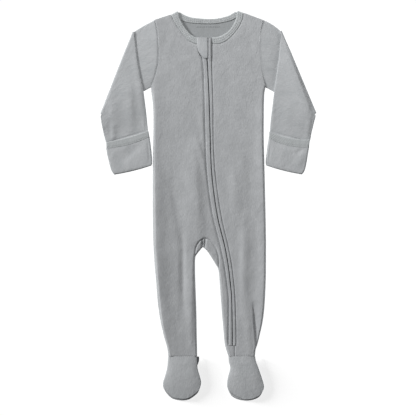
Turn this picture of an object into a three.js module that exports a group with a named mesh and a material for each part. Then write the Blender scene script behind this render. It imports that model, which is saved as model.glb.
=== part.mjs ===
import * as THREE from 'three';

// Footed baby sleepsuit with a zip from the neck to the left ankle, laid flat on its back.
// Each sleeve is folded forward over itself, so that its mitten cuff lies beside the body.
// Millimetres. The floor is z = 0, the neck points along +Y and +X is the wearer's left.

// Driving sizes
const CLOTH = 1.2; // wall of the body's jersey
const SLEEVE_CLOTH = 1.0; // wall of the sleeves and of the mitten cuffs
const SEAM = 0.3; // space between two sewn pieces
const CURVED_SEAM = 0.5; // the same along a tightly curved seam
const BODY_LIFT = 2.2; // how far the front rises from its rolled edges
const ROLL_WIDTH = 8; // width of that rolled edge
const ANKLE = -232; // height of both ankle seams
const ARMPIT = 182; // height of both underarm points
const ZIP_END = -213.6; // lower end of the zip
const SLOT = 1.6; // opening between the two folded edges over the zip
const BINDING = 2; // thickness of the neck binding
const TUBE = 2.8; // a sleeve's two layers as they lie on each other
const FOLD_SPACE = 1.2; // space between the two halves of a folded sleeve
const SOLE = 1.8; // thickness of the foot's sole
const GREY = 0xa5a8a9;
const ZIP_GREY = 0x6f7375;

// Tables with named columns
const table = (names, rows) =>
  rows.map((row) => Object.fromEntries(names.split(' ').map((name, i) => [name, row[i]])));

// Armholes, from the shoulder down to the underarm: height, then x on each side.
const ARMHOLE = table('y right left', [
  [286, -82.4, 83.8],
  [270.5, -78.5, 80.5],
  [247.4, -76.2, 78.5],
  [232, -76, 79.2],
  [218, -76.9, 80.8],
  [201, -80.9, 83.5],
  [190, -84.8, 86],
  [ARMPIT, -88.2, 88.2],
]);

// Side seams and outer legs, from the underarm down to the ankle.
const SIDE = table('y right left', [
  [ARMPIT, -88.2, 88.2],
  [174, -87.5, 86.5],
  [162, -85.9, 85.9],
  [137, -84.4, 85.6],
  [100, -84.6, 85.6],
  [40, -85.1, 87.1],
  [-48, -84.2, 88.9],
  [-88, -81.9, 88.9],
  [-115, -79.5, 88.6],
  [-152, -76.5, 86.8],
  [-177, -72.9, 84],
  [-202, -67.4, 78.6],
  [-214, -64, 75.5],
  [-221, -62.6, 73.2],
  [ANKLE, -61.5, 71.8],
]);

// Inner edges of the two legs, from the crotch down to the ankle.
const INNER_LEG = table('y right left', [
  [-77.5, -19.4, 3.7],
  [-84, -20.3, 7.6],
  [-95, -20.3, 14.3],
  [-102, -20.3, 16.2],
  [-115, -19.9, 17.2],
  [-165, -18.2, 21],
  [-202, -17.6, 24.2],
  [-214, -17.3, 25.6],
  [-221, -17.1, 27.4],
  [ANKLE, -17, 31],
]);

// Crotch gusset, from the right leg over the top to the left leg: seam to the front, free edge.
const CROTCH = table('seamX seamY edgeX edgeY', [
  [-20.6, -77.5, -19.4, -77.5],
  [-19.3, -66, -15.2, -71.8],
  [-16.9, -60, -13, -69.2],
  [-13.2, -55, -11.2, -66.9],
  [-9.6, -52, -9.6, -65],
  [-5.6, -50.1, -8.2, -63.8],
  [-0.4, -52, -5.6, -66],
  [3.8, -55, -2.6, -68.7],
  [8.5, -60, 1.2, -73.8],
  [12.3, -66, 4.1, -78.3],
  [15.7, -77.5, 7.9, -84.5],
  [16.2, -86, 11.5, -90.3],
  [16.2, -95, 14.3, -95],
]);
const CROTCH_TOP = 5; // the row at the top of the arch

// Zip: height, x of the slot, and the width of the folded edge on each side of it.
const ZIP = table('y slot right left', [
  [258, -7, 8, 12.6],
  [250, -7, 8, 12.3],
  [242, -6.7, 7.9, 12],
  [234, -4.2, 7.9, 9.5],
  [226, -2, 7.2, 7.3],
  [216, -0.9, 6.8, 6.2],
  [207, -0.5, 6.6, 6],
  [163, 1.6, 7.2, 5.4],
  [98, 3.5, 7.5, 4],
  [55, 5.2, 7.2, 4.8],
  [16, 9.3, 7, 5.4],
  [-22, 15.5, 6.8, 5.4],
  [-60, 25, 6.6, 4.9],
  [-90, 30.6, 5.7, 5],
  [-122, 34.4, 4.9, 5.1],
  [-142, 36.2, 4.4, 4.8],
  [-198, 37.2, 5.6, 5.5],
  [-216, 37.2, 5.7, 5.5],
]);

// Neckline, from the zip over the shoulder point to the zip again: seam, and free edge.
const NECK_RIGHT = table('seamX seamY edgeX edgeY', [
  [-15.3, 248.4, -15.3, 258.3],
  [-18.5, 248.6, -17.4, 258.4],
  [-29.5, 253.4, -24.2, 261.6],
  [-37.7, 261.7, -30.8, 267.2],
  [-46, 272.7, -38.6, 277.6],
  [-53.5, 285.1, -44.6, 289.8],
  [-57.7, 294.1, -47.4, 299.8],
]);
const NECK_LEFT = table('seamX seamY edgeX edgeY', [
  [6.3, 249.1, 5.9, 259],
  [18.7, 249.3, 14.6, 259.6],
  [29.6, 254.8, 24.1, 263.7],
  [39.3, 264.5, 32.4, 269.9],
  [47.5, 275.4, 39.3, 279.6],
  [53.1, 287.8, 43.4, 290],
  [54.4, 296.8, 45, 300.3],
]);
const NECK_BACK = table('seamX seamY edgeX edgeY', [
  [-47, 287.3, -43, 297.4],
  [-40.4, 284.4, -36.4, 293.6],
  [-28.1, 281.3, -26, 290],
  [-8.9, 279.9, -8.9, 288],
  [11.8, 280.2, 11, 288],
  [32.4, 284, 29, 291.8],
  [38.6, 286.6, 35.8, 295.2],
  [45, 289.9, 41, 298.6],
]);
const NECK_CENTRE = 2; // the row where the right front's inner strip begins

// Folded sleeves, from the fold line down into the cuff. Here x is the distance from the
// centre line. Each row is one flattened section: inner end, outer end, and their heights.
const SLEEVE = {
  right: table('innerX innerY outerX outerY innerZ outerZ', [
    [111.9, 246, 164.6, 132.4, 5.4, 5.2],
    [109.5, 224, 163.8, 126, 5.4, 4.8],
    [105, 202.5, 162.9, 120, 5.4, 4.2],
    [100.4, 181, 161.8, 114, 5, 3],
    [97.6, 161, 160.6, 109, 3.6, 1.9],
    [95.3, 142, 159.6, 105, 2.1, 1.5],
    [93.9, 128, 158.8, 101.6, 1.6, 1.6],
    [92.8, 117, 157.2, 97.4, 2, 2],
    [91.8, 106, 155.6, 89.6, 2.45, 2.45],
    [90.1, 94, 154, 79.4, 2.45, 2.45],
    [88.8, 82, 151.4, 70, 2.45, 2.45],
  ]),
  left: table('innerX innerY outerX outerY innerZ outerZ', [
    [110.2, 246, 164.6, 133, 5.4, 5.2],
    [108.2, 224, 163, 126.4, 5.4, 4.8],
    [105.2, 202.5, 161.4, 120, 5.4, 4.2],
    [102, 181, 159.9, 114.6, 5, 3],
    [99.5, 161, 158.8, 110, 3.6, 1.9],
    [97.2, 142, 158, 106, 2.1, 1.5],
    [95.6, 128, 157.4, 102.6, 1.6, 1.6],
    [94.7, 115.6, 156, 98.4, 2, 2],
    [94.2, 103.6, 154, 91.6, 2.45, 2.45],
    [92.4, 92, 151.9, 80.4, 2.45, 2.45],
    [91.2, 80, 150, 70, 2.45, 2.45],
  ]),
};
const CUFF_ROWS = 3; // the last rows of each sleeve lie inside the cuff
const FOLD_LINE = {
  right: { top: [115.9, 267.4], bottom: [165.8, 139.6] },
  left: { top: [113.1, 268.2], bottom: [165.9, 141.1] },
};

// Mitten cuffs, from the stitch line under the band to the closed end. The sag is how far
// the middle of a section hangs towards the closed end.
const CUFF = {
  right: table('innerX innerY outerX outerY sag half', [
    [90.2, 106.3, 157.2, 88.2, 3.7, 2.45],
    [88.5, 94, 155.6, 78, 2.4, 2.45],
    [87.2, 82, 153.2, 68.4, 1.4, 2.45],
    [86.4, 71.5, 150.5, 57.6, 1.2, 2.45],
    [86.4, 65, 148, 52, 1.3, 2],
    [87.6, 61.6, 144.6, 47.6, 1.4, 1],
  ]),
  left: table('innerX innerY outerX outerY sag half', [
    [92.8, 103.8, 155.4, 90.4, 5, 2.45],
    [91, 92, 153.4, 79, 3.4, 2.45],
    [89.7, 80, 151.8, 68.6, 2, 2.45],
    [88.5, 70.4, 149.6, 58, 1.3, 2.45],
    [88.6, 64.8, 147.2, 51.8, 1.3, 2],
    [89.8, 61.6, 144.2, 48, 1.4, 1],
  ]),
};
const BAND_TOP = {
  right: { inner: [91.9, 115.4], outer: [157.4, 97.4], sag: 1.6 },
  left: { inner: [93.6, 113.8], outer: [156.8, 101.6], sag: 3.6 },
};
const BAND_LOWER = 3.9; // underside of the band, on the sleeve
const BAND_THICK = 1.6;
const BAND_LENGTH = 0.95; // share of the way down to the cuff that the band takes

// Feet, from the ankle to the toe: height, then x on each side of the outline.
const FOOT = {
  right: table('y outer inner', [
    [ANKLE - SEAM, -61.6, -17.2],
    [-240, -62.2, -16.9],
    [-251, -63.7, -16.2],
    [-263, -67, -12.8],
    [-271, -69.1, -11],
    [-277, -68.9, -11.8],
    [-282, -67.2, -13.8],
  ]),
  left: table('y outer inner', [
    [ANKLE - SEAM, 72.2, 31.2],
    [-240, 73.6, 31.7],
    [-249, 77, 33.6],
    [-263, 81.9, 30.4],
    [-271, 84.4, 29],
    [-278, 85.6, 29.3],
    [-283, 84, 31.6],
  ]),
};

// Toes, from the outer to the inner side: the seam above the sole, and the sole's own edge.
const TOE = {
  right: table('seamX seamY tipX tipY', [
    [-60, -288.2, -59.7, -289.5],
    [-52.6, -294.4, -52.6, -296.2],
    [-41, -297, -40.7, -299.4],
    [-33, -294.6, -30, -297],
    [-25.6, -290.2, -22, -291.8],
    [-19, -285.2, -16.6, -286.4],
  ]),
  left: table('seamX seamY tipX tipY', [
    [77, -289.2, 77.6, -291.6],
    [70, -293, 70.5, -297.2],
    [63.5, -296.1, 63, -299.9],
    [55.4, -296.8, 55, -299.5],
    [45.7, -292.7, 45.7, -296],
    [37.5, -288, 36.2, -289.2],
  ]),
};
const HEEL_END = -246; // seam between the heel and the sole
const FOOT_RISE = 4; // crown of the foot above its sole

// Soft folds of the front: a line, the half width of the fold, and its rise or fall.
const FRONT_FOLDS = table('x1 y1 x2 y2 width rise', [
  [-71, 178, -71, -68, 6, -0.7],
  [-33, 78, -34, -60, 12, 1],
  [-13, 9, -8, -53, 7, -0.6],
  [-40, 215, -42, 120, 20, 0.6],
  [42, 228, 44, 70, 22, 0.7],
  [64, 16, 64, -150, 7, -0.8],
  [77, 9, 77, -140, 5, 0.4],
  [-63, -76, -60, -207, 5, -0.8],
  [-42, -53, -43, -91, 5, -0.6],
  [-33, -92, -34, -205, 9, 0.9],
  [50, -120, 51, -214, 6, 0.6],
  [65, -153, 68, -187, 3.6, -0.9],
  [68, -187, 71, -221, 3.6, -1],
  [78, -178, 75, -214, 4, 0.7],
]);

// Soft folds of both sleeves and cuffs, with x as the distance from the centre line.
const SLEEVE_FOLDS = table('x1 y1 x2 y2 width rise', [
  [161, 137, 152, 106, 4, -0.7],
  [149, 142, 142, 110, 7, 0.7],
  [118, 220, 116, 132, 9, -0.5],
  [104, 170, 101, 128, 5, 0.5],
  [131, 86, 128, 60, 12, 0.6],
  [146, 80, 143, 60, 7, -0.4],
]);

// Zip guard over the top of the zip.
const GUARD = table('y left right', [
  [258.8, -17.9, -1.3],
  [249, -17.1, -1.3],
  [240, -16.2, -1.4],
  [233, -12.7, -1.6],
  [228.5, -8.4, -1.9],
  [226.2, -4.6, -2.4],
]);
const GUARD_EDGE = 5.8; // underside of the guard at its edges
const GUARD_RISE = 1.8; // its crown over the slider

// Reading tables and lines
const mix = THREE.MathUtils.lerp;
const clamp = THREE.MathUtils.clamp;
const point = (x, y, z = 0) => new THREE.Vector3(x, y, z);
const between = (a, b, t) => a.clone().lerp(b, t);

// Numbers in even steps, both ends included.
function spaced(first, last, steps) {
  return Array.from({ length: steps + 1 }, (_, i) => mix(first, last, i / steps));
}

// Smooth reading of a column between rows that run down in height.
function readAt(rows, column, y) {
  const last = rows.length - 1;
  const below = rows.findIndex((row) => row.y <= y);
  const i = below < 0 ? last - 1 : clamp(below - 1, 0, last - 1);
  const slope = (k) => {
    const [a, b] = [rows[Math.max(k - 1, 0)], rows[Math.min(k + 1, last)]];
    return (b[column] - a[column]) / (b.y - a.y);
  };
  const [a, b] = [rows[i], rows[i + 1]];
  const step = b.y - a.y;
  const t = clamp((y - a.y) / step, 0, 1);
  const [t2, t3] = [t * t, t * t * t];
  return (2 * t3 - 3 * t2 + 1) * a[column] + (3 * t2 - 2 * t3) * b[column]
    + (t3 - 2 * t2 + t) * step * slope(i) + (t3 - t2) * step * slope(i + 1);
}

// A smooth line through points, read by its share of length.
function lineThrough(points) {
  const curve = new THREE.CatmullRomCurve3(points, false, 'centripetal');
  return (t) => curve.getPointAt(clamp(t, 0, 1));
}

// How far a flat place lies from a stretch of line, and how far along the stretch.
function toStretch(x, y, x1, y1, x2, y2) {
  const [dx, dy] = [x2 - x1, y2 - y1];
  const along = clamp(((x - x1) * dx + (y - y1) * dy) / (dx * dx + dy * dy), 0, 1);
  return { along, away: Math.hypot(x - x1 - along * dx, y - y1 - along * dy) };
}

// The sum of soft folds at a flat place, each fading out at its ends.
function foldsAt(folds, x, y) {
  let rise = 0;
  for (const fold of folds) {
    const { away } = toStretch(x, y, fold.x1, fold.y1, fold.x2, fold.y2);
    rise += fold.rise * Math.exp(-((away / fold.width) ** 2));
  }
  return rise;
}

// A sheet of cloth: points with an upper and a lower side, and the cells between them
class Sheet {
  constructor() {
    this.upper = [];
    this.lower = [];
    this.cells = [];
    this.known = new Map();
  }

  // Adds a place once, and gives its number.
  place({ upper, lower }) {
    const key = [...upper.toArray(), ...lower.toArray()].map((n) => Math.round(n * 500)).join();
    if (!this.known.has(key)) {
      this.known.set(key, this.upper.length);
      this.upper.push(upper);
      this.lower.push(lower);
    }
    return this.known.get(key);
  }

  // Adds the cells of a grid whose places come from a function of row and column.
  grid(rows, columns, placeAt, round = false) {
    const ids = rows.map((row, i) => columns.map((column, j) => this.place(placeAt(row, column, i, j))));
    const width = round ? columns.length : columns.length - 1;
    for (let i = 0; i + 1 < rows.length; i += 1) {
      for (let j = 0; j < width; j += 1) {
        const next = (j + 1) % columns.length;
        this.cells.push([ids[i][j], ids[i + 1][j], ids[i + 1][next], ids[i][next]]);
      }
    }
    return ids;
  }

  // The closed wall: both sides, and a rim along each edge that only one cell has.
  solid() {
    const count = this.upper.length;
    const faces = [];
    const edges = new Map();
    const flat = (a, b, c) => a === b || b === c || a === c;
    for (const [a, b, c, d] of this.cells) {
      for (const face of [[a, b, c], [a, c, d]]) {
        if (flat(...face)) continue;
        faces.push(face, [face[2] + count, face[1] + count, face[0] + count]);
        for (let k = 0; k < 3; k += 1) {
          const [from, to] = [face[k], face[(k + 1) % 3]];
          edges.set(`${from} ${to}`, [from, to]);
        }
      }
    }
    for (const [a, b] of edges.values()) {
      if (edges.has(`${b} ${a}`)) continue;
      faces.push([b, a, a + count], [b, a + count, b + count]);
    }
    const points = [...this.upper, ...this.lower];
    let volume = 0;
    for (const [a, b, c] of faces) volume += points[a].dot(points[b].clone().cross(points[c]));
    const outward = volume > 0 ? faces : faces.map(([a, b, c]) => [c, b, a]);
    const geometry = new THREE.BufferGeometry().setFromPoints(points);
    geometry.setIndex(outward.flat());
    geometry.computeVertexNormals();
    return geometry;
  }
}

// Cloth that lies level: its wall stands straight up from its underside.
const lying = (x, y, z, thick = CLOTH) => ({ upper: point(x, y, z + thick), lower: point(x, y, z) });

// A flat piece on the floor, cut from an outline.
function flatPiece(outline, thick) {
  const shape = new THREE.Shape(outline.map((p) => new THREE.Vector2(p.x, p.y)));
  return new THREE.ExtrudeGeometry(shape, { depth: thick, bevelEnabled: false });
}

// Outline of the laid body
const zipEdge = (side, y) => {
  const sign = side === 'right' ? -1 : 1;
  return readAt(ZIP, 'slot', y) + sign * readAt(ZIP, side, y);
};
const outerEdge = (side, y) => readAt(y > ARMPIT ? ARMHOLE : SIDE, side, y);
const SEAM_BRANCH = { // the crotch seam on each side of its top
  right: CROTCH.slice(0, CROTCH_TOP + 1).reverse(),
  left: CROTCH.slice(CROTCH_TOP),
};

// Inner edge of a front at one height: the crotch seam first, then the edge of the leg.
function innerEdge(side, y) {
  const branch = SEAM_BRANCH[side];
  const i = Math.max(branch.findIndex((row) => row.seamY <= y), 1);
  if (y < branch.at(-1).seamY) return readAt(INNER_LEG, side, y);
  const t = (y - branch[i - 1].seamY) / (branch[i].seamY - branch[i - 1].seamY);
  return mix(branch[i - 1].seamX, branch[i].seamX, t);
}

// The edges that roll down to the floor, as lists of points.
const shoulderLine = (x, neck) => [point(x, ARMHOLE[0].y), point(neck.seamX, neck.seamY)];
const SHOULDER = {
  right: shoulderLine(ARMHOLE[0].right, NECK_RIGHT.at(-1)),
  left: shoulderLine(ARMHOLE[0].left, NECK_LEFT.at(-1)),
};
const downEdge = (read, top, bottom, steps) => spaced(top, bottom, steps).map((y) => point(read(y), y));
const ROLLED_EDGES = ['right', 'left'].flatMap((side) => [
  SHOULDER[side],
  downEdge((y) => outerEdge(side, y), ARMHOLE[0].y, ARMPIT + 0.01, 8),
  downEdge((y) => outerEdge(side, y), ARMPIT, ANKLE, 24),
  downEdge((y) => readAt(INNER_LEG, side, y), SEAM_BRANCH[side].at(-1).seamY, ANKLE, 14),
]);
ROLLED_EDGES.push(CROTCH.map((row) => point(row.edgeX, row.edgeY)));

function distanceToEdge(x, y) {
  let least = Infinity;
  for (const edge of ROLLED_EDGES) {
    for (let i = 0; i + 1 < edge.length; i += 1) {
      const [a, b] = [edge[i], edge[i + 1]];
      least = Math.min(least, toStretch(x, y, a.x, a.y, b.x, b.y).away);
    }
  }
  return least;
}

// Height of the front's underside: low at the rolled edges, with soft folds inside them.
function frontLevel(x, y) {
  const share = clamp(distanceToEdge(x, y) / ROLL_WIDTH, 0, 1);
  const roll = 1 - (1 - share) ** 2;
  return CLOTH + SEAM + roll * (BODY_LIFT + foldsAt(FRONT_FOLDS, x, y));
}
const frontCloth = (place) => lying(place.x, place.y, frontLevel(place.x, place.y));

// Heights of the rows that both fronts share below the underarm
const LEG_ROWS = [
  ...spaced(ARMPIT, CROTCH[CROTCH_TOP].seamY, 14).slice(1, -1),
  ...SEAM_BRANCH.left.map((row) => row.seamY),
  ...spaced(-95, ZIP_END - CURVED_SEAM, 8).slice(1),
  ZIP_END - 3,
  -224,
  ANKLE,
];
const TOP_STEPS = 7; // rows between the neckline and the underarm
const CENTRE_SEAM = 40.7; // x of the seam below the zip
const SHOULDER_SHARE = 0.3; // share of a front's top line that is its shoulder
const topRow = (tops, t) => ({ fade: 1 - t, heights: tops.map((top) => mix(top, ARMPIT, t)) });
const rowsFrom = (tops) => [
  ...spaced(0, 1, TOP_STEPS).map((t) => topRow(tops, t)),
  ...LEG_ROWS.map((y) => ({ fade: 0, heights: tops.map(() => y) })),
];

// A front's edge along the zip, and along the seam below it.
function zipSide(side, y) {
  const sign = side === 'right' ? -1 : 1;
  if (y < ZIP_END - 2) return CENTRE_SEAM + (sign * SEAM) / 2;
  return zipEdge(side, y) + sign * CURVED_SEAM;
}

// Places of a panel between two edges, drawn up to its top line.
function panelPlace(edgeA, edgeB, top, row, u) {
  const [a, b] = [edgeA(row), edgeB(row)];
  const place = between(a, b, u);
  const chord = between(top(0), top(1), u);
  return place.add(top(u).sub(chord).multiplyScalar(row.fade));
}

// Top line of a panel: the shoulder as its first stretch, then the neckline.
function topLine(side, neck, share) {
  const [shoulderEnd, neckPoint] = SHOULDER[side];
  const seam = lineThrough(neck);
  return (u) => {
    if (u < share) return between(shoulderEnd, neckPoint, u / share);
    return seam((u - share) / (1 - share));
  };
}

// Front on the wearer's right, with the right leg and the strip inside the zip on the left leg
function frontRight() {
  const seam = NECK_RIGHT.map((row) => point(row.seamX, row.seamY));
  const centre = seam[NECK_CENTRE];
  const zipTop = seam[0];
  const apex = CROTCH[CROTCH_TOP];
  const rows = rowsFrom([ARMHOLE[0].y, centre.y, zipTop.y]);
  const outer = (row) => point(outerEdge('right', row.heights[0]), row.heights[0]);
  const middle = (side) => (row) => {
    const y = row.heights[1];
    const share = (centre.y - y) / (centre.y - apex.seamY);
    return point(y > apex.seamY ? mix(centre.x, apex.seamX, share) : innerEdge(side, y), y);
  };
  const zip = (row) => point(zipSide('right', row.heights[2]), row.heights[2]);
  const outerTop = topLine('right', seam.slice(NECK_CENTRE).reverse(), SHOULDER_SHARE);
  const innerTop = lineThrough(seam.slice(0, NECK_CENTRE + 1).reverse());
  const panel = (edgeA, edgeB, top) => (row, u) => frontCloth(panelPlace(edgeA, edgeB, top, row, u));
  const columns = [0, 0.04, 0.1, 0.2, 0.3, 0.4, 0.5, 0.6, 0.7, 0.8, 0.9, 0.96, 1];
  const sheet = new Sheet();
  sheet.grid(rows, columns, panel(outer, middle('right'), outerTop));
  sheet.grid(rows, [0, 0.2, 0.5, 1], panel(middle('left'), zip, innerTop));
  return sheet.solid();
}

// Front on the wearer's left, with the outer side of the left leg
function frontLeft() {
  const seam = NECK_LEFT.map((row) => point(row.seamX, row.seamY));
  const rows = rowsFrom([ARMHOLE[0].y, seam[0].y]);
  const outer = (row) => point(outerEdge('left', row.heights[0]), row.heights[0]);
  const zip = (row) => point(zipSide('left', row.heights[1]), row.heights[1]);
  const top = topLine('left', seam.slice().reverse(), SHOULDER_SHARE);
  const sheet = new Sheet();
  const columns = [0, 0.04, 0.1, 0.2, 0.3, 0.4, 0.5, 0.6, 0.7, 0.8, 0.9, 1];
  sheet.grid(rows, columns, (row, u) => frontCloth(panelPlace(outer, zip, top, row, u)));
  return sheet.solid();
}

// The binding's flat section where it starts to turn over the shoulder: its two long edges
const BINDING_FRONT = CLOTH + SEAM + BODY_LIFT + CLOTH / 2; // height of the binding on the front
function bindingTurn(row) {
  const [edge, seam] = [point(row.edgeX, row.edgeY), point(row.seamX, row.seamY)];
  const outward = edge.clone().sub(seam).normalize().cross(point(0, 0, 1));
  if (outward.y < 0) outward.negate();
  const inset = outward.clone().multiplyScalar(-BINDING_FRONT / 2 - BINDING / 4);
  return { inner: edge.add(inset), outer: seam.add(inset), outward };
}

// Back, one piece from the shoulders to the ankles, flat on the floor
function backBody() {
  const corner = (row) => {
    const { inner, outer } = bindingTurn(row);
    return between(outer, inner, -2 * SEAM / inner.distanceTo(outer));
  };
  const shoulderEnd = (side) => between(SHOULDER[side][1], SHOULDER[side][0], 0.05);
  const neck = [
    corner(NECK_RIGHT.at(-1)),
    ...NECK_BACK.map((row) => point(row.seamX, row.seamY - CURVED_SEAM)),
    corner(NECK_LEFT.at(-1)),
  ];
  const down = (side) => [
    ...downEdge((y) => outerEdge(side, y), ARMHOLE[0].y, ARMPIT + 4, 8),
    ...downEdge((y) => outerEdge(side, y), ARMPIT, ANKLE, 26),
  ];
  const inner = (side, top) => downEdge((y) => readAt(INNER_LEG, side, y), top, ANKLE, 10);
  const outline = [
    shoulderEnd('right'),
    ...neck,
    shoulderEnd('left'),
    ...down('left'),
    ...inner('left', -97).reverse(),
    ...CROTCH.slice().reverse().map((row) => point(row.edgeX, row.edgeY)),
    ...inner('right', -80),
    ...down('right').reverse(),
  ];
  return flatPiece(outline, CLOTH);
}

// Gusset between the legs, from the curved seam of the front to the fold at the crotch
function crotchGusset() {
  const sheet = new Sheet();
  sheet.grid(CROTCH, [0, 0.33, 0.67, 1], (row, u) => {
    const [seam, edge] = [point(row.seamX, row.seamY), point(row.edgeX, row.edgeY)];
    const start = CURVED_SEAM / seam.distanceTo(edge);
    return frontCloth(between(seam, edge, mix(start, 1, u)));
  });
  return sheet.solid();
}

// Sections that turn half round a fold line, from the lower level to the upper one.
function halfTurn(inner, outer, outward, low, high, steps) {
  const radius = (high - low) / 2;
  return spaced(0, 180, steps).map((degrees) => {
    const turn = THREE.MathUtils.degToRad(degrees);
    const shift = outward.clone().multiplyScalar(radius * Math.sin(turn));
    shift.z += low + radius * (1 - Math.cos(turn));
    const face = outward.clone().multiplyScalar(-Math.sin(turn)).add(point(0, 0, Math.cos(turn)));
    return { inner: inner.clone().add(shift), outer: outer.clone().add(shift), face };
  });
}

// One ring of a flattened tube, as shares of the way round: first one side, then the other.
const EDGE_STEPS = [0, 0.3, 1]; // places on the round edge, in half thicknesses
function ringOf(section, inset, across) {
  const half = section.half - inset;
  const width = section.inner.distanceTo(section.outer);
  const edge = EDGE_STEPS.map((step) => [(inset + step * half) / width, Math.sqrt(1 - (1 - step) ** 2)]);
  const middle = spaced(edge.at(-1)[0], 1 - edge.at(-1)[0], across).slice(1, -1).map((s) => [s, 1]);
  const side = [...edge, ...middle, ...edge.map(([s, f]) => [1 - s, f]).reverse()];
  const at = ([s, full], sign) => {
    const place = between(section.inner, section.outer, s);
    if (section.bend) place.add(section.bend(s));
    const raised = sign === section.shown ? section.crown(place, s) : 0;
    return place.add(section.face.clone().multiplyScalar(sign * (half * full + raised)));
  };
  return [...side.map((s) => at(s, 1)), ...side.slice(1, -1).reverse().map((s) => at(s, -1))];
}

// A flattened tube of cloth through sections, open at both ends or closed at the last.
function flatTube(sections, wall, across, closed = false) {
  const outer = sections.map((section) => ringOf(section, 0, across));
  const inner = sections.map((section) => ringOf(section, wall, across));
  if (closed) {
    const back = sections.at(-2).inner.clone().sub(sections.at(-1).inner).setLength(wall);
    inner.at(-1).forEach((place) => place.add(back));
  }
  const pair = (section, column, i, j) => ({ upper: outer[i][j], lower: inner[i][j] });
  const sheet = new Sheet();
  const ids = sheet.grid(sections, outer[0], pair, true);
  if (closed) {
    const last = ids.at(-1);
    const opposite = (j) => last[(last.length - j) % last.length];
    for (let j = 0; j < last.length / 2; j += 1) {
      sheet.cells.push([opposite(j), opposite(j + 1), last[j + 1], last[j]]);
    }
  }
  return sheet.solid();
}

// Sleeve: from the armhole out to the fold line, half round it, and down into the cuff
const CAP_CROWN = 0.6; // rise of the part that stays in place
const SLEEVE_CROWN = 1.4; // rise of the part folded over
const CUFF_HALF = 2.45; // half the cuff's thickness, with the sleeve's end inside
const TUCKED = 0.25; // how much less the sleeve's half thickness is inside the cuff
function sleeve(side) {
  const sign = side === 'right' ? -1 : 1;
  const fold = FOLD_LINE[side];
  const top = point(sign * fold.top[0], fold.top[1]);
  const bottom = point(sign * fold.bottom[0], fold.bottom[1]);
  const outward = bottom.clone().sub(top).normalize().cross(point(0, 0, 1)).multiplyScalar(-sign);
  const half = TUBE / 2;
  const [low, high] = [half, half + TUBE + FOLD_SPACE];
  const inset = outward.clone().multiplyScalar(-(high - low) / 2 - half);
  const [foldInner, foldOuter] = [top.clone().add(inset), bottom.clone().add(inset)];
  const gap = point(sign * CURVED_SEAM, 0);
  const armhole = ARMHOLE.map((row) => point(row[side], row.y).add(gap));
  const [armTop, armpit] = [armhole[0], armhole.at(-1)];
  const seam = lineThrough(armhole);
  const flatUp = point(0, 0, 1);
  const folds = (place) => foldsAt(SLEEVE_FOLDS, Math.abs(place.x), place.y);

  const cap = spaced(0, 1, 4).slice(0, -1).map((t) => ({
    inner: between(armTop, foldInner, t).setZ(low),
    outer: between(armpit, foldOuter, t).setZ(low),
    face: flatUp,
    half,
    shown: 1,
    bend: (s) => seam(s).sub(between(armTop, armpit, s)).multiplyScalar((1 - t) ** 2),
    crown: (place, s) => CAP_CROWN * (4 * s * (1 - s)) * (1 - t),
  }));
  const turn = halfTurn(foldInner, foldOuter, outward, low, high, 6).map((section) => ({
    ...section, half, shown: 0, crown: () => 0,
  }));
  const inCuff = SLEEVE[side].length - CUFF_ROWS;
  const over = SLEEVE[side].map((row, i) => ({
    inner: point(sign * row.innerX, row.innerY, row.innerZ),
    outer: point(sign * row.outerX, row.outerY, row.outerZ),
    face: point(0, 0, -1),
    half: i < inCuff - 1 ? half : half - TUCKED,
    shown: -1,
    crown: (place, s) => {
      const fromEnds = clamp(Math.min(inCuff - 1 - i, i + 1) / 3, 0, 1);
      return (4 * s * (1 - s)) ** 0.7 * fromEnds * (SLEEVE_CROWN + folds(place));
    },
  }));
  return flatTube([...cap, ...turn, ...over], SLEEVE_CLOTH, 9);
}

// Mitten cuff: a flat pocket, open at the stitch line and closed at its end
const CUFF_CLOTH = 0.9; // its wall
const CUFF_CROWN = 0.6; // rise of its upper side
function cuff(side) {
  const sign = side === 'right' ? -1 : 1;
  const rows = CUFF[side];
  const sections = rows.map((row, i) => ({
    inner: point(sign * row.innerX, row.innerY, CUFF_HALF),
    outer: point(sign * row.outerX, row.outerY, CUFF_HALF),
    face: point(0, 0, 1),
    half: row.half,
    shown: 1,
    bend: (s) => point(0, -row.sag * 4 * s * (1 - s)),
    crown: (place, s) => {
      const swell = 4 * s * (1 - s) * Math.min(i / 2, 1) * Math.min((rows.length - 1 - i) / 2, 1);
      return swell * (CUFF_CROWN + foldsAt(SLEEVE_FOLDS, Math.abs(place.x), place.y));
    },
  }));
  return flatTube(sections, CUFF_CLOTH, 9, true);
}

// Knitted band along the mitten's open edge
function cuffBand(side) {
  const sign = side === 'right' ? -1 : 1;
  const [top, low] = [BAND_TOP[side], CUFF[side][0]];
  const hanging = (inner, outer, sag) => (s) => {
    const place = between(inner, outer, s);
    place.y -= sag * 4 * s * (1 - s);
    return place;
  };
  const topAt = hanging(point(...top.inner), point(...top.outer), top.sag);
  const [lowInner, lowOuter] = [point(low.innerX, low.innerY), point(low.outerX, low.outerY)];
  const lowAt = hanging(lowInner, lowOuter, low.sag);
  const sheet = new Sheet();
  sheet.grid([0, 0.15, 0.85, 1], spaced(0.01, 0.985, 10), (v, s, i) => {
    const place = between(topAt(s), lowAt(s), v * BAND_LENGTH);
    const thick = i === 0 || i === 3 ? BAND_THICK * 0.7 : BAND_THICK;
    return lying(sign * place.x, place.y, BAND_LOWER, thick);
  });
  return sheet.solid();
}

const BINDING_GAP = 0.08; // share of its width left free at the seam
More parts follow.
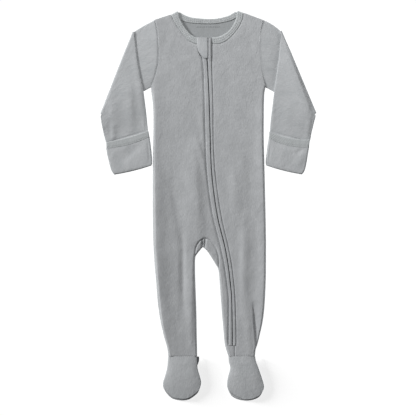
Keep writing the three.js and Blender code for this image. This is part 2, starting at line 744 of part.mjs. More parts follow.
// Neck binding: along the left front, over the shoulder, round the back and to the right front
function neckBinding() {
  const half = BINDING / 2;
  const flatRow = (z, up) => (row) => ({
    inner: point(row.edgeX, row.edgeY, z),
    outer: point(row.seamX, row.seamY, z),
    face: point(0, 0, up),
  });
  const turnAt = (row, away) => {
    const { inner, outer, outward } = bindingTurn(row);
    const turned = halfTurn(inner, outer, outward, half, BINDING_FRONT, 6);
    return away ? turned : turned.reverse();
  };
  const sections = [
    ...NECK_RIGHT.slice(0, -1).map(flatRow(BINDING_FRONT, -1)),
    ...turnAt(NECK_RIGHT.at(-1), false),
    ...NECK_BACK.map(flatRow(half, 1)),
    ...turnAt(NECK_LEFT.at(-1), true),
    ...NECK_LEFT.slice(0, -1).reverse().map(flatRow(BINDING_FRONT, -1)),
  ];
  const sheet = new Sheet();
  sheet.grid(sections, [0, 0.18, 0.82, 1], (section, u, i, j) => {
    const place = between(section.inner, section.outer, mix(0, 1 - BINDING_GAP, u));
    const thick = half * (j === 0 || j === 3 ? 0.6 : 1);
    return {
      upper: place.clone().addScaledVector(section.face, thick),
      lower: place.clone().addScaledVector(section.face, -thick),
    };
  });
  return sheet.solid();
}

// Zip: a tape with its bead of teeth on each side of the slot
const TAPE = { lower: 1.6, thick: 0.8, bead: 1.5, width: 9 };
function zipTape(side) {
  const sign = side === 'right' ? -1 : 1;
  const across = [[0.2, TAPE.bead], [1.6, TAPE.bead], [1.9, TAPE.thick], [TAPE.width, TAPE.thick]];
  const sheet = new Sheet();
  sheet.grid(spaced(257.5, ZIP_END + 1, 34), across, (y, [away, thick]) => (
    lying(readAt(ZIP, 'slot', y) + sign * away, y, TAPE.lower, thick)
  ));
  return sheet.solid();
}

// Folded edge of a front, stitched down beside the slot
const WELT = { thick: 1.8, least: 3.4 };
function zipWelt(side) {
  const sign = side === 'right' ? -1 : 1;
  const sheet = new Sheet();
  sheet.grid(spaced(257.8, ZIP_END, 40), [0, 0.2, 0.75, 1], (y, u, i, j) => {
    const slot = readAt(ZIP, 'slot', y);
    const x = mix(slot + (sign * SLOT) / 2, zipEdge(side, y), u);
    const lower = Math.max(WELT.least, frontLevel(slot, y) - 0.2);
    return lying(x, y, lower, WELT.thick * [0.8, 1, 1, 0.75][j]);
  });
  return sheet.solid();
}

// Slider over the top of the zip, with its keel in the slot, and the pull below it
const SLIDER = { x: -7, low: 245, length: 9, width: 7, thick: 1.3, z: 5.7, keel: 0.8, keelDown: 1.9 };
function zipSlider() {
  const { width, thick, keel, keelDown } = SLIDER;
  const profile = new THREE.Shape([
    [-width / 2, 0], [-keel / 2, 0], [-keel / 2, -keelDown], [keel / 2, -keelDown],
    [keel / 2, 0], [width / 2, 0], [width / 2 - 1, thick], [1 - width / 2, thick],
  ].map(([x, z]) => new THREE.Vector2(x, z)));
  return new THREE.ExtrudeGeometry(profile, { depth: SLIDER.length, bevelEnabled: false });
}

const PULL = { width: 5, length: 11, thick: 1, hole: 1.2 };
function zipPull() {
  const shape = new THREE.Shape();
  const radius = PULL.width / 2;
  shape.moveTo(-radius, 0);
  shape.lineTo(-radius, radius - PULL.length);
  shape.absarc(0, radius - PULL.length, radius, Math.PI, 2 * Math.PI, false);
  shape.lineTo(radius, 0);
  const hole = new THREE.Path().absarc(0, radius - PULL.length, PULL.hole, 0, 2 * Math.PI, true);
  shape.holes.push(hole);
  return new THREE.ExtrudeGeometry(shape, { depth: PULL.thick, bevelEnabled: false, curveSegments: 8 });
}

// Guard: a soft tab that covers the slider
function zipGuard() {
  const sheet = new Sheet();
  const heights = [258.8, 252, 245, 239, 233.5, 229.5, 227.4, 226.2];
  sheet.grid(heights, [0, 0.12, 0.3, 0.5, 0.7, 0.88, 1], (y, u) => {
    const x = mix(readAt(GUARD, 'left', y), readAt(GUARD, 'right', y), u);
    const down = (heights[0] - y) / (heights[0] - heights.at(-1));
    const rise = GUARD_RISE * (1 - Math.abs(2 * u - 1) ** 5) * (1 - down ** 5);
    return lying(x, y, GUARD_EDGE + rise);
  });
  return sheet.solid();
}

// A toe's rounded line, from the end of the outer side to the end of the inner side.
function toeLine(side, edge) {
  const last = FOOT[side].at(-1);
  return lineThrough([
    point(last.outer, last.y),
    ...TOE[side].map((row) => point(row[`${edge}X`], row[`${edge}Y`])),
    point(last.inner, last.y),
  ]);
}

// Upper of the foot: crowned between the ankle seam, its sides and the toe seam
function footUpper(side) {
  const rows = FOOT[side];
  const last = rows.at(-1);
  const toe = toeLine(side, 'seam');
  const columns = [0, 0.05, 0.15, 0.3, 0.45, 0.6, 0.75, 0.87, 0.95, 1];
  const sheet = new Sheet();
  sheet.grid(spaced(0, 1, 12), columns, (v, u) => {
    const y = mix(rows[0].y, last.y, v);
    const place = point(mix(readAt(rows, 'outer', y), readAt(rows, 'inner', y), u), y);
    const toeChord = point(mix(last.outer, last.inner, u), last.y);
    place.add(toe(u).sub(toeChord).multiplyScalar(v ** 1.5));
    const across = (1 - Math.abs(2 * u - 1) ** 3) ** 0.8;
    const alongFoot = mix(0.45, 1, Math.min(v / 0.45, 1)) * (1 - Math.max(0, (v - 0.6) / 0.4) ** 2.5);
    return lying(place.x, place.y, SOLE + SEAM + FOOT_RISE * across * alongFoot);
  });
  return sheet.solid();
}

// Sole: from the heel seam to the toe
function sole(side) {
  const rows = FOOT[side];
  const heights = spaced(HEEL_END - SEAM, rows.at(-1).y, 6);
  return flatPiece([
    ...heights.map((y) => point(readAt(rows, 'outer', y), y)),
    ...spaced(0, 1, 14).slice(1, -1).map(toeLine(side, 'tip')),
    ...heights.slice().reverse().map((y) => point(readAt(rows, 'inner', y), y)),
  ], SOLE);
}

// Heel: gathered under the foot, where it stands out a little beside the right ankle
const HEEL_INNER = {
  right: table('x y', [
    [-16.3, -244.8],
    [-14.8, -241],
    [-14, -236],
    [-14.6, -231.4],
    [-16.2, -228.6],
    [-16.6, ANKLE - SEAM],
  ]),
  left: table('x y', [
    [33.3, HEEL_END],
    [31.7, -240],
    [31.2, ANKLE - SEAM],
  ]),
};
function heel(side) {
  const outer = downEdge((y) => readAt(FOOT[side], 'outer', y), ANKLE - SEAM, HEEL_END, 4);
  return flatPiece([...outer, ...HEEL_INNER[side].map((row) => point(row.x, row.y))], CLOTH);
}

// The whole sleepsuit
const sleepsuit = new THREE.Group();
function add(name, geometry, color = GREY, roughness = 0.95, metalness = 0) {
  const material = new THREE.MeshStandardMaterial({ color, roughness, metalness });
  const mesh = new THREE.Mesh(geometry, material);
  mesh.name = name;
  sleepsuit.add(mesh);
  return mesh;
}

add('back_body', backBody());
add('front_right', frontRight());
add('front_left', frontLeft());
add('crotch_gusset', crotchGusset());
add('neck_binding', neckBinding());
for (const side of ['right', 'left']) {
  add(`sleeve_${side}`, sleeve(side));
  add(`cuff_${side}`, cuff(side));
  add(`cuff_band_${side}`, cuffBand(side));
  add(`zip_tape_${side}`, zipTape(side), ZIP_GREY);
  add(`zip_welt_${side}`, zipWelt(side));
  add(`foot_upper_${side}`, footUpper(side));
  add(`sole_${side}`, sole(side));
  add(`heel_${side}`, heel(side));
}
add('zip_guard', zipGuard());
const slider = add('zip_slider', zipSlider(), ZIP_GREY, 0.4, 0.8);
slider.rotation.x = Math.PI / 2;
slider.position.set(SLIDER.x, SLIDER.low + SLIDER.length, SLIDER.z);
const pull = add('zip_pull', zipPull(), ZIP_GREY, 0.4, 0.8);
pull.position.set(SLIDER.x - 0.8, SLIDER.low - SEAM, SLIDER.z);

export default sleepsuit;
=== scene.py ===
# %% [markdown]
# # A baby's footed sleepsuit, laid flat
# The real garment is sewn from thin grey cotton jersey. It has a zip from the neck down to one
# ankle, feet, and mitten cuffs at the ends of its sleeves. It lies on its back with each sleeve
# folded forward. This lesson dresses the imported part: each solid of the part is a plain wall, and
# each cell below makes one sewn piece on that wall's form, with its rolled edges, creases and
# stitches. All sizes are in millimetres until a mesh is made, and then in metres.

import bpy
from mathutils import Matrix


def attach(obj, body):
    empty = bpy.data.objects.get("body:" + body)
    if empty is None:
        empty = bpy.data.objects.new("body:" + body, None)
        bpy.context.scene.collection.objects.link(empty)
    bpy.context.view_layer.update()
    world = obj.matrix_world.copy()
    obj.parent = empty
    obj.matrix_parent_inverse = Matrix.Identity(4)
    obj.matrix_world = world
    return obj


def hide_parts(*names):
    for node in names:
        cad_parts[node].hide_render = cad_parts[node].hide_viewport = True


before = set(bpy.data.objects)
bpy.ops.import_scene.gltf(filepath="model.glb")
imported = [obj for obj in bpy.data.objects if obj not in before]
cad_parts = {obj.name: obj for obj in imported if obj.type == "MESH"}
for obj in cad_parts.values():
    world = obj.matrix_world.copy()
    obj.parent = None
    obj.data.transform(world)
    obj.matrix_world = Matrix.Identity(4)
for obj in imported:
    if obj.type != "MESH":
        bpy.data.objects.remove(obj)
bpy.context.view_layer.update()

# %% What the lesson uses
import math

import bpy
import numpy as np

MM = 0.001  # one millimetre in metres
SIGN = {"right": -1, "left": 1}  # which way each of the wearer's sides lies along x

# %% [markdown]
# ## Small tools
# Cloth is easiest to describe by short tables: a row for each height, with the places of its
# edges. `table` gives the columns names, `read` reads a column smoothly at any height, and
# `smooth_rows` draws a soft line through all rows at once.

# %% Tables and smooth lines
def table(names, rows):
    """Columns of numbers by name."""
    return {name: np.array([row[i] for row in rows], float) for i, name in enumerate(names.split())}


def read(rows, column, y):
    """A column at the heights y, smoothly between rows that run down in height."""
    heights, values = rows["y"], rows[column]
    slopes = np.gradient(values)
    slopes[1:-1] = (values[2:] - values[:-2]) / (heights[2:] - heights[:-2])
    slopes[0] = (values[1] - values[0]) / (heights[1] - heights[0])
    slopes[-1] = (values[-1] - values[-2]) / (heights[-1] - heights[-2])
    y = np.asarray(y, float)
    i = np.clip(np.searchsorted(-heights, -y, side="right") - 1, 0, len(heights) - 2)
    step = heights[i + 1] - heights[i]
    t = np.clip((y - heights[i]) / step, 0, 1)
    return (
        (2 * t**3 - 3 * t**2 + 1) * values[i]
        + (3 * t**2 - 2 * t**3) * values[i + 1]
        + (t**3 - 2 * t**2 + t) * step * slopes[i]
        + (t**3 - t**2) * step * slopes[i + 1]
    )


def smooth_rows(points, share):
    """A soft line through rows of points, read by the share of its rows."""
    points = np.asarray(points, float)
    padded = np.vstack([2 * points[0] - points[1], points, 2 * points[-1] - points[-2]])
    place = np.clip(share, 0, 1) * (len(points) - 1)
    i = np.minimum(place.astype(int), len(points) - 2)
    t = (place - i)[:, None]
    a, b, c, d = (padded[i + k] for k in range(4))
    return 0.5 * (2 * b + (c - a) * t + (2 * a - 5 * b + 4 * c - d) * t**2 + (3 * b - a - 3 * c + d) * t**3)


def line_through(points):
    """A soft line through points, read by its share of length."""
    dense = smooth_rows(points, np.linspace(0, 1, 40 * len(points)))
    run = np.concatenate([[0], np.cumsum(np.linalg.norm(np.diff(dense, axis=0), axis=1))])
    columns = dense.T
    return lambda t: np.stack([np.interp(np.clip(t, 0, 1) * run[-1], run, column) for column in columns], -1)


def away(x, y, line):
    """How far flat places lie from a broken line."""
    least = np.full(np.shape(x), np.inf)
    for (x1, y1), (x2, y2) in zip(line, line[1:]):
        dx, dy = x2 - x1, y2 - y1
        t = np.clip(((x - x1) * dx + (y - y1) * dy) / max(dx * dx + dy * dy, 1e-9), 0, 1)
        least = np.minimum(least, np.hypot(x - x1 - t * dx, y - y1 - t * dy))
    return least


def folds_at(folds, x, y):
    """The height of soft ridges and troughs at flat places. Each fold runs down and fades out at its
    ends, and has a width on its left and another on its right."""
    rise = np.zeros(np.shape(x))
    for x1, y1, x2, y2, bow, left, right, height in folds:
        length = math.hypot(x2 - x1, y2 - y1)
        dx, dy = (x2 - x1) / length, (y2 - y1) / length
        along = np.clip(((x - x1) * dx + (y - y1) * dy) / length, 0, 1)
        across = (x1 - x) * dy - (y1 - y) * dx + bow * 4 * along * (1 - along)
        width = np.where(across < 0, left, right)
        rise = rise + height * np.sin(np.pi * along) ** 0.8 * np.exp(-((across / width) ** 2))
    return rise


def rounded(share):
    """How high a rounded edge stands at a share of its width, from 0 at the edge to 1."""
    return np.sqrt(1 - np.clip(1 - share, 0, 1) ** 2)


def spread(steps, crowding=0.0):
    """Shares from 0 to 1, crowded towards both ends."""
    even = np.linspace(0, 1, steps + 1)
    return even * (1 - crowding) + (1 - np.cos(np.pi * even)) / 2 * crowding


# %% [markdown]
# ## A closed wall of cloth
# A piece of cloth is one closed wall: an outer side, an inner side and a rim between them. It is
# given as patches, each one a grid of outer places, inner places and places on the flat cloth.
# Patches that meet are welded, so a front can be made of two grids that part at the crotch. The
# places on the flat cloth are kept as a UV map named grain, so the knit follows each piece.

# %% Walls from patches
WELD_STEP = 0.01  # places closer than this count once


def weld(points):
    """Numbers of places, where places that nearly meet count once."""
    keys = np.round(points / WELD_STEP + 0.31).astype(np.int64)
    _, first, number = np.unique(keys, axis=0, return_index=True, return_inverse=True)
    return first, number.reshape(-1)


def add_mesh(name, points, faces, places, material):
    """A smooth-shaded mesh object from millimetre points, with its map of the flat cloth."""
    mesh = bpy.data.meshes.new(name)
    mesh.from_pydata((np.asarray(points) * MM).tolist(), [], faces)
    if places is not None:
        mesh.uv_layers.new(name="grain").data.foreach_set("uv", (np.concatenate(places) * MM).ravel())
    mesh.materials.append(material)
    mesh.shade_smooth()
    mesh.set_sharp_from_angle(angle=math.radians(55))
    piece = bpy.data.objects.new(name, mesh)
    bpy.context.scene.collection.objects.link(piece)
    return piece


def wall(name, patches, material):
    """One closed wall from patches of (outer, inner, flat place) grids."""
    quads, start = [], 0
    for outer, _, _ in patches:
        rows, columns = outer.shape[:2]
        ids = start + np.arange(rows * columns).reshape(rows, columns)
        quads.append(np.stack([ids[:-1, :-1], ids[1:, :-1], ids[1:, 1:], ids[:-1, 1:]], -1).reshape(-1, 4))
        start += rows * columns
    quads = np.concatenate(quads)
    outer, inner, flat = (
        np.concatenate([grid.reshape(-1, grid.shape[-1]) for grid in grids]) for grids in zip(*patches)
    )
    first, number = weld(outer)
    count = len(first)
    welded = number[quads]
    edges = np.stack([welded, np.roll(welded, -1, axis=1)], -1).reshape(-1, 2)
    corners = np.stack([quads, np.roll(quads, -1, axis=1)], -1).reshape(-1, 2)
    real = edges[:, 0] != edges[:, 1]
    edges, corners = edges[real], corners[real]
    free = ~np.isin(edges[:, 0] * count + edges[:, 1], edges[:, 1] * count + edges[:, 0])
    rim, rim_flat = edges[free], corners[free]
    points = np.vstack([outer[first], inner[first]])
    band = np.stack([rim[:, 1], rim[:, 0], rim[:, 0] + count, rim[:, 1] + count], -1)
    faces = np.vstack([welded, welded[:, ::-1] + count, band])
    flats = np.vstack([quads, quads[:, ::-1], rim_flat[:, [1, 0, 0, 1]]])
    volume = np.einsum("ij,ij->", points[faces[:, 0]], np.cross(points[faces[:, 1]], points[faces[:, 2]]))
    volume += np.einsum("ij,ij->", points[faces[:, 0]], np.cross(points[faces[:, 2]], points[faces[:, 3]]))
    if volume < 0:
        faces, flats = faces[:, ::-1], flats[:, ::-1]
    kept, final = weld(points)
    made, places = [], []
    for face, on_cloth in zip(final[faces].tolist(), flat[flats]):
        keep = [k for k in range(4) if face[k] != face[k - 1]]
        if len(keep) > 2 and len({face[k] for k in keep}) == len(keep):
            made.append([face[k] for k in keep])
            places.append(on_cloth[keep])
    piece = add_mesh(name, points[kept], made, places, material)
    cloth = sum(face.area for face in piece.data.polygons) / 2
    triangles = sum(len(face) - 2 for face in made)
    print(f"{name}: {triangles} triangles, {abs(volume) / 6000:.1f} cm3, {cloth:.5f} m2 of cloth")
    return piece


def normals(grid):
    """Upward normals of a grid of places."""
    cross = np.cross(np.gradient(grid, axis=1), np.gradient(grid, axis=0))
    cross *= np.where(cross[..., 2:] < 0, -1, 1)
    return cross / np.maximum(np.linalg.norm(cross, axis=-1, keepdims=True), 1e-9)


def laid(flat_places, height, thick):
    """A patch that lies on the floor: its outer side at a height, its inner side a wall's depth below."""
    outer = np.dstack([flat_places, height(flat_places[..., 0], flat_places[..., 1])])
    return outer, outer - normals(outer) * thick, flat_places


# %% [markdown]
# ## Materials
# Cotton jersey is knitted from soft matte yarn. Up close it has fine upright ribs, the wales,
# about a millimetre apart, and its grey is slightly uneven. A picture of the whole garment is too
# coarse for single loops, so the wales are drawn as faint streaks of uneven width. The fuzz of
# the cotton gives a weak sheen at the edges. Every pattern is worked out from a size in
# millimetres on the piece's own flat cloth.

# %% Helpers for materials
def linear(code):
    """A colour from its sRGB hex code."""
    shares = [int(code[i : i + 2], 16) / 255 for i in (0, 2, 4)]
    return [c / 12.92 if c <= 0.04045 else ((c + 0.055) / 1.055) ** 2.4 for c in shares] + [1.0]


def add_node(tree, kind, inputs=None, **settings):
    """Adds a node with its settings. Inputs are values, or the outputs that they come from."""
    made = tree.nodes.new(kind)
    for name, value in settings.items():
        setattr(made, name, value)
    for key, value in (inputs or {}).items():
        if isinstance(value, bpy.types.NodeSocket):
            tree.links.new(value, made.inputs[key])
        else:
            made.inputs[key].default_value = value
    return made


def new_material(name):
    """An empty material and its tree."""
    material = bpy.data.materials.new(name)
    material.use_nodes = True
    material.node_tree.nodes.clear()
    return material, material.node_tree


def streaks(tree, where, across, along, detail=2.0):
    """Noise drawn out along the wales, from its size across and along them in millimetres."""
    scale = (1 / (across * MM), 1 / (along * MM), 1)
    sized = add_node(tree, "ShaderNodeMapping", {"Vector": where, "Scale": scale}).outputs[0]
    return add_node(tree, "ShaderNodeTexNoise", {"Vector": sized, "Scale": 1.0, "Detail": detail}).outputs[0]


# %% Knitted cotton
def knitted_cotton(name, dark, light, wale, bump):
    """Matte knitted cotton between two greys, with wales and relief of that size in millimetres."""
    material, tree = new_material(name)
    where = add_node(tree, "ShaderNodeUVMap", uv_map="grain").outputs[0]
    wales = streaks(tree, where, wale, wale * 3)
    cloudy = streaks(tree, where, 16, 26, 3.0)
    both = add_node(tree, "ShaderNodeMath", {0: wales, 1: cloudy}, operation="ADD").outputs[0]
    half = add_node(tree, "ShaderNodeMapRange", {0: both, 1: 0.7, 2: 1.3, 3: 0.0, 4: 1.0}).outputs[0]
    greys = {0: half, 6: linear(dark), 7: linear(light)}
    colour = add_node(tree, "ShaderNodeMix", greys, data_type="RGBA").outputs[2]
    crumple = streaks(tree, where, 7, 10, 3.0)
    lift = add_node(tree, "ShaderNodeMath", {0: crumple, 1: 1.6, 2: wales}, operation="MULTIPLY_ADD").outputs[0]
    relief = add_node(tree, "ShaderNodeBump", {"Height": lift, "Strength": 1.0, "Distance": bump * MM})
    surface = add_node(
        tree,
        "ShaderNodeBsdfPrincipled",
        {"Base Color": colour, "Roughness": 0.92, "IOR": 1.5, "Specular IOR Level": 0.25, "Sheen Weight": 0.25,
         "Sheen Roughness": 0.6, "Sheen Tint": linear("d8dadc"), "Normal": relief.outputs[0]},
    )
    add_node(tree, "ShaderNodeOutputMaterial", {"Surface": surface.outputs[0]})
    return material


jersey = knitted_cotton("grey_cotton_jersey", "9fa1a3", "adafb1", 1.3, 0.38)
# a lighter copy of the same jersey, as painted light, for the sleeves, cuffs, guard and foot uppers
painted_lighter_jersey = knitted_cotton("grey_cotton_jersey_painted_lighter", "a6a9ab", "b2b4b6", 1.3, 0.32)
# the back's cloth, painted darker than the front's as painted shade for the hollow inside the neck
inside_jersey_painted_shade = knitted_cotton("grey_cotton_jersey_inside_painted_shade", "909394", "9a9d9f", 1.4, 0.2)
# a near-black copy of the jersey for the heels, as painted shade: the heel lies in deep shade under the ankle
heel_painted_shade_jersey = knitted_cotton("grey_cotton_jersey_heel_painted_shade", "4c4f51", "585b5d", 1.4, 0.2)
rib_knit = knitted_cotton("fine_grey_rib_knit", "a2a6a7", "b0b3b4", 1.2, 0.3)
print("materials:", [m.name for m in bpy.data.materials])


# %% [markdown]
# Spun polyester thread is dull and a little paler than the cloth, so a row of stitches shows as a
# faint broken line. The zip's woven tape and moulded nylon coil are darker than the cloth, and show
# only as a thin line in the slot. Enamel gives the cast zinc slider a smooth, soft gloss.

# %% Thread, zip tape and enamelled zinc
def plain_finish(name, code, roughness, grain, metallic=0.0):
    """An even finish whose colour varies a little at a grain's size in millimetres."""
    material, tree = new_material(name)
    where = add_node(tree, "ShaderNodeTexCoord").outputs["Object"]
    sized = {"Vector": where, "Scale": 1 / (grain * MM), "Detail": 2.0}
    speckle = add_node(tree, "ShaderNodeTexNoise", sized).outputs[0]
    share = add_node(tree, "ShaderNodeMapRange", {0: speckle, 1: 0.3, 2: 0.7, 3: 0.85, 4: 1.1}).outputs[0]
    colour = add_node(
        tree, "ShaderNodeMix", {0: 1.0, 6: linear(code), 7: share}, data_type="RGBA", blend_type="MULTIPLY"
    ).outputs[2]
    relief = add_node(tree, "ShaderNodeBump", {"Height": speckle, "Strength": 0.5, "Distance": 0.05 * MM})
    surface = add_node(
        tree,
        "ShaderNodeBsdfPrincipled",
        {"Base Color": colour, "Roughness": roughness, "Metallic": metallic, "Normal": relief.outputs[0]},
    )
    add_node(tree, "ShaderNodeOutputMaterial", {"Surface": surface.outputs[0]})
    return material


thread = plain_finish("spun_polyester_thread", "b4b6b8", 0.8, grain=0.6)
dark_thread = plain_finish("spun_polyester_thread_dark", "74777a", 0.85, grain=0.6)
tape_weave = plain_finish("woven_polyester_tape", "3c3e41", 0.85, grain=0.5)
coil = plain_finish("moulded_nylon_coil", "36383b", 0.5, grain=0.8)
enamelled_zinc = plain_finish("enamelled_zinc", "7c8084", 0.35, grain=1.5, metallic=0.6)

# %% [markdown]
# ## Camera, light and floor
# The photograph looks straight down at the garment. A very long lens keeps its sides upright in
# the picture: the picture is 640.6 mm wide at the floor. The floor is white card, and the light
# is a bright room with a broad lamp from the upper left, which shows the folds softly.

# %% Camera
PIXEL = 1.54  # millimetres of the garment that one pixel of the photograph shows
WIDE = 416 * PIXEL * MM
lens = bpy.data.cameras.new("camera_from_above")
lens.sensor_width = 36
DISTANCE = 4.0
lens.lens = lens.sensor_width * DISTANCE / WIDE
lens.clip_end = 20
camera = bpy.data.objects.new("camera_from_above", lens)
camera.location = (-0.25 * PIXEL * MM, -2.35 * PIXEL * MM, DISTANCE)
bpy.context.scene.collection.objects.link(camera)
bpy.context.scene.camera = camera
print(f"lens {lens.lens:.0f} mm, {WIDE * 1000:.1f} mm across the picture")

# %% Floor
card, card_tree = new_material("white_light_table")
card_grain = add_node(card_tree, "ShaderNodeTexNoise", {"Scale": 400.0, "Detail": 2.0}).outputs[0]
card_colour = add_node(
    card_tree, "ShaderNodeMix", {0: card_grain, 6: linear("fafafa"), 7: linear("fdfdfd")}, data_type="RGBA"
).outputs[2]
card_surface = add_node(
    card_tree, "ShaderNodeBsdfPrincipled",
    {"Base Color": card_colour, "Roughness": 0.9, "Emission Color": linear("ffffff"), "Emission Strength": 0.7},
)
add_node(card_tree, "ShaderNodeOutputMaterial", {"Surface": card_surface.outputs[0]})
floor = add_mesh("floor", [(-4000, -4000, -0.2), (4000, -4000, -0.2), (4000, 4000, -0.2), (-4000, 4000, -0.2)],
                 [(0, 1, 2, 3)], None, card)

# %% Light
world = bpy.data.worlds.new("bright_room")
bpy.context.scene.world = world
world.use_nodes = True
world.node_tree.nodes["Background"].inputs["Color"].default_value = (1, 1, 1, 1)
world.node_tree.nodes["Background"].inputs["Strength"].default_value = 0.13
bpy.context.scene.view_settings.view_transform = "Standard"

flagged = bpy.data.collections.new("flagged_from_the_lamp")
flagged.objects.link(floor)
flagged.collection_objects[0].light_linking.link_state = "EXCLUDE"


def hang(name, lamp, place):
    """Hangs a lamp at a place, turned to the garment and flagged from the floor."""
    holder = bpy.data.objects.new(name, lamp)
    holder.location = place
    holder.rotation_mode = "QUATERNION"
    holder.rotation_quaternion = (-holder.location).to_track_quat("-Z", "Y")
    holder.light_linking.receiver_collection = flagged
    bpy.context.scene.collection.objects.link(holder)
    return holder


low_lamp = bpy.data.lights.new("low_lamp", "SUN")
low_lamp.energy = 3.2
low_lamp.angle = math.radians(14)
hang("low_lamp", low_lamp, (-1.72, 0.76, 0.92))
soft_box = bpy.data.lights.new("soft_box", "AREA")
soft_box.shape = "DISK"
soft_box.size = 0.8
soft_box.energy = 13.5
hang("soft_box", soft_box, (0.1, 1.3, 1.0))

# %% [markdown]
# ## The laid outline
# The same short tables as in the part's own drawing say where the edges lie. The right side is
# the wearer's right, which is on the left of the picture.

# %% Armholes, sides, legs and crotch
ANKLE, ARMPIT, ZIP_END = -232.0, 182.0, -213.6
CLOSED_X = 40.7  # where the two fronts meet below the zip
ARMHOLE = table("y right left", [
    (286, -82.4, 83.8), (270.5, -78.5, 80.5), (247.4, -76.2, 78.5), (232, -76, 79.2),
    (218, -76.9, 80.8), (201, -80.9, 83.5), (190, -84.8, 86), (ARMPIT, -88.2, 88.2),
])
SIDE = table("y right left", [
    (ARMPIT, -88.2, 88.2), (174, -87.5, 86.5), (162, -85.9, 85.9), (137, -84.4, 85.6),
    (100, -84.8, 85.6), (40, -85.5, 87.1), (-48, -84.9, 88.9), (-88, -82.8, 88.9),
    (-115, -80.5, 88.6), (-152, -77.4, 86.8), (-177, -73.7, 84), (-202, -68, 78.6),
    (-214, -64.4, 75.5), (-221, -62.8, 73.2), (ANKLE, -61.5, 71.8),
])
INNER_LEG = table("y right left", [
    (-77.5, -19.4, 3.7), (-84, -20.3, 7.6), (-95, -20.3, 14.3), (-102, -20.3, 16.2),
    (-115, -19.9, 17.2), (-165, -18.2, 21), (-202, -17.6, 24.2), (-214, -17.3, 25.6),
    (-221, -17.1, 27.4), (ANKLE, -17, 31),
])
CROTCH = table("seam_x seam_y edge_x edge_y", [
    (-20.6, -77.5, -19.4, -77.5), (-19.3, -66, -15.2, -71.8), (-16.9, -60, -13, -69.2),
    (-13.2, -55, -11.2, -66.9), (-9.6, -52, -9.6, -65), (-5.6, -50.1, -8.2, -63.8),
    (-0.4, -52, -5.6, -66), (3.8, -55, -2.6, -68.7), (8.5, -60, 1.2, -73.8),
    (12.3, -66, 4.1, -78.3), (15.7, -77.5, 7.9, -84.5), (16.2, -86, 11.5, -90.3),
    (16.2, -95, 14.3, -95),
])
CROTCH_TOP = 5

# %% Zip and neck
ZIP = table("y slot right left", [
    (258, -7, 8, 12.6), (250, -7, 8, 12.3), (242, -6.7, 7.9, 12), (234, -4.2, 7.9, 9.5),
    (226, -2, 7.2, 7.3), (216, -0.9, 6.8, 6.2), (207, -0.5, 6.6, 6), (163, 1.6, 7.2, 5.4),
    (98, 3.5, 7.5, 4), (55, 5.2, 7.2, 4.8), (16, 9.3, 7, 5.4), (-22, 15.5, 6.8, 5.4),
    (-60, 25, 6.6, 4.9), (-90, 30.6, 5.7, 5), (-122, 34.4, 4.9, 5.1), (-142, 36.2, 4.4, 4.8),
    (-198, 37.2, 5.6, 5.5), (-216, 37.2, 5.7, 5.5),
])
NECK_RIGHT = table("seam_x seam_y edge_x edge_y", [
    (-15.3, 248.4, -15.3, 258.3), (-18.5, 248.6, -17.4, 258.4), (-29.5, 253.4, -24.2, 261.6),
    (-37.7, 261.7, -30.8, 267.2), (-46, 272.7, -38.6, 277.6), (-53.5, 285.1, -44.6, 289.8),
    (-57.7, 294.1, -47.4, 299.8),
])
NECK_LEFT = table("seam_x seam_y edge_x edge_y", [
    (6.3, 249.1, 5.9, 259), (18.7, 249.3, 14.6, 259.6), (29.6, 254.8, 24.1, 263.7),
    (39.3, 264.5, 32.4, 269.9), (47.5, 275.4, 39.3, 279.6), (53.1, 287.8, 43.4, 290),
    (54.4, 296.8, 45, 300.3),
])
NECK_BACK = table("seam_x seam_y edge_x edge_y", [
    (-47, 287.3, -43, 297.4), (-40.4, 284.4, -36.4, 293.6), (-28.1, 281.3, -26, 290),
    (-8.9, 279.9, -8.9, 288), (11.8, 280.2, 11, 288), (32.4, 284, 29, 291.8),
    (38.6, 286.6, 35.8, 295.2), (45, 289.9, 41, 298.6),
])
NECK_CENTRE = 2


def pairs(rows, kind):
    """The x and y of one kind of place, as rows of points."""
    return np.stack([rows[f"{kind}_x"], rows[f"{kind}_y"]], -1)


# %% Edges of a laid body
def outer_edge(side, y):
    """The x of the armhole or of the side."""
    return np.where(np.asarray(y) > ARMPIT, read(ARMHOLE, side, y), read(SIDE, side, y))


def inner_edge(side, y, kind):
    """The x of the crotch, at its seam or at its fold, and below it of the leg."""
    rows = pairs(CROTCH, kind)
    branch = rows[CROTCH_TOP::-1] if side == "right" else rows[CROTCH_TOP:]
    y = np.asarray(y, float)
    on_branch = np.interp(-y, -branch[:, 1], branch[:, 0])
    return np.where(y < branch[-1, 1], read(INNER_LEG, side, y), on_branch)


def zip_edge(side, y, gap=0.0):
    """The x where a front meets its stitched edge over the zip, or meets the other front below it."""
    sign = SIGN[side]
    beside = read(ZIP, "slot", y) + sign * (read(ZIP, side, y) + gap)
    return np.where(np.asarray(y) < ZIP_END - 2, CLOSED_X + sign * 0.1, beside)


def line_at(read_x, heights):
    """An edge's points at given heights."""
    return np.stack([read_x(heights), heights], -1)


def edge_line(read_x, top, bottom, steps=30):
    """An edge as points down from one height to another."""
    return line_at(read_x, np.linspace(top, bottom, steps))


CROTCH_ENDS = {"right": -77.5, "left": -95.0}
SHOULDER_TOP = ARMHOLE["y"][0]
SHOULDER = {
    side: np.array([(ARMHOLE[side][0], SHOULDER_TOP), pairs(neck, "seam")[-1]])
    for side, neck in (("right", NECK_RIGHT), ("left", NECK_LEFT))
}
free_edges, left_edges = [pairs(CROTCH, "edge")], []
for side in SIGN:
    (free_edges if side == "right" else left_edges).append(
        edge_line(lambda y: outer_edge(side, y), ARMPIT, ANKLE - 3, 60)
    )
    free_edges.append(edge_line(lambda y: read(INNER_LEG, side, y), CROTCH_ENDS[side], ANKLE - 3))
armhole_edges = [edge_line(lambda y: read(ARMHOLE, "right", y), SHOULDER_TOP, ARMPIT, 60), *SHOULDER.values()]
print("edges that roll to the floor:", len(free_edges))

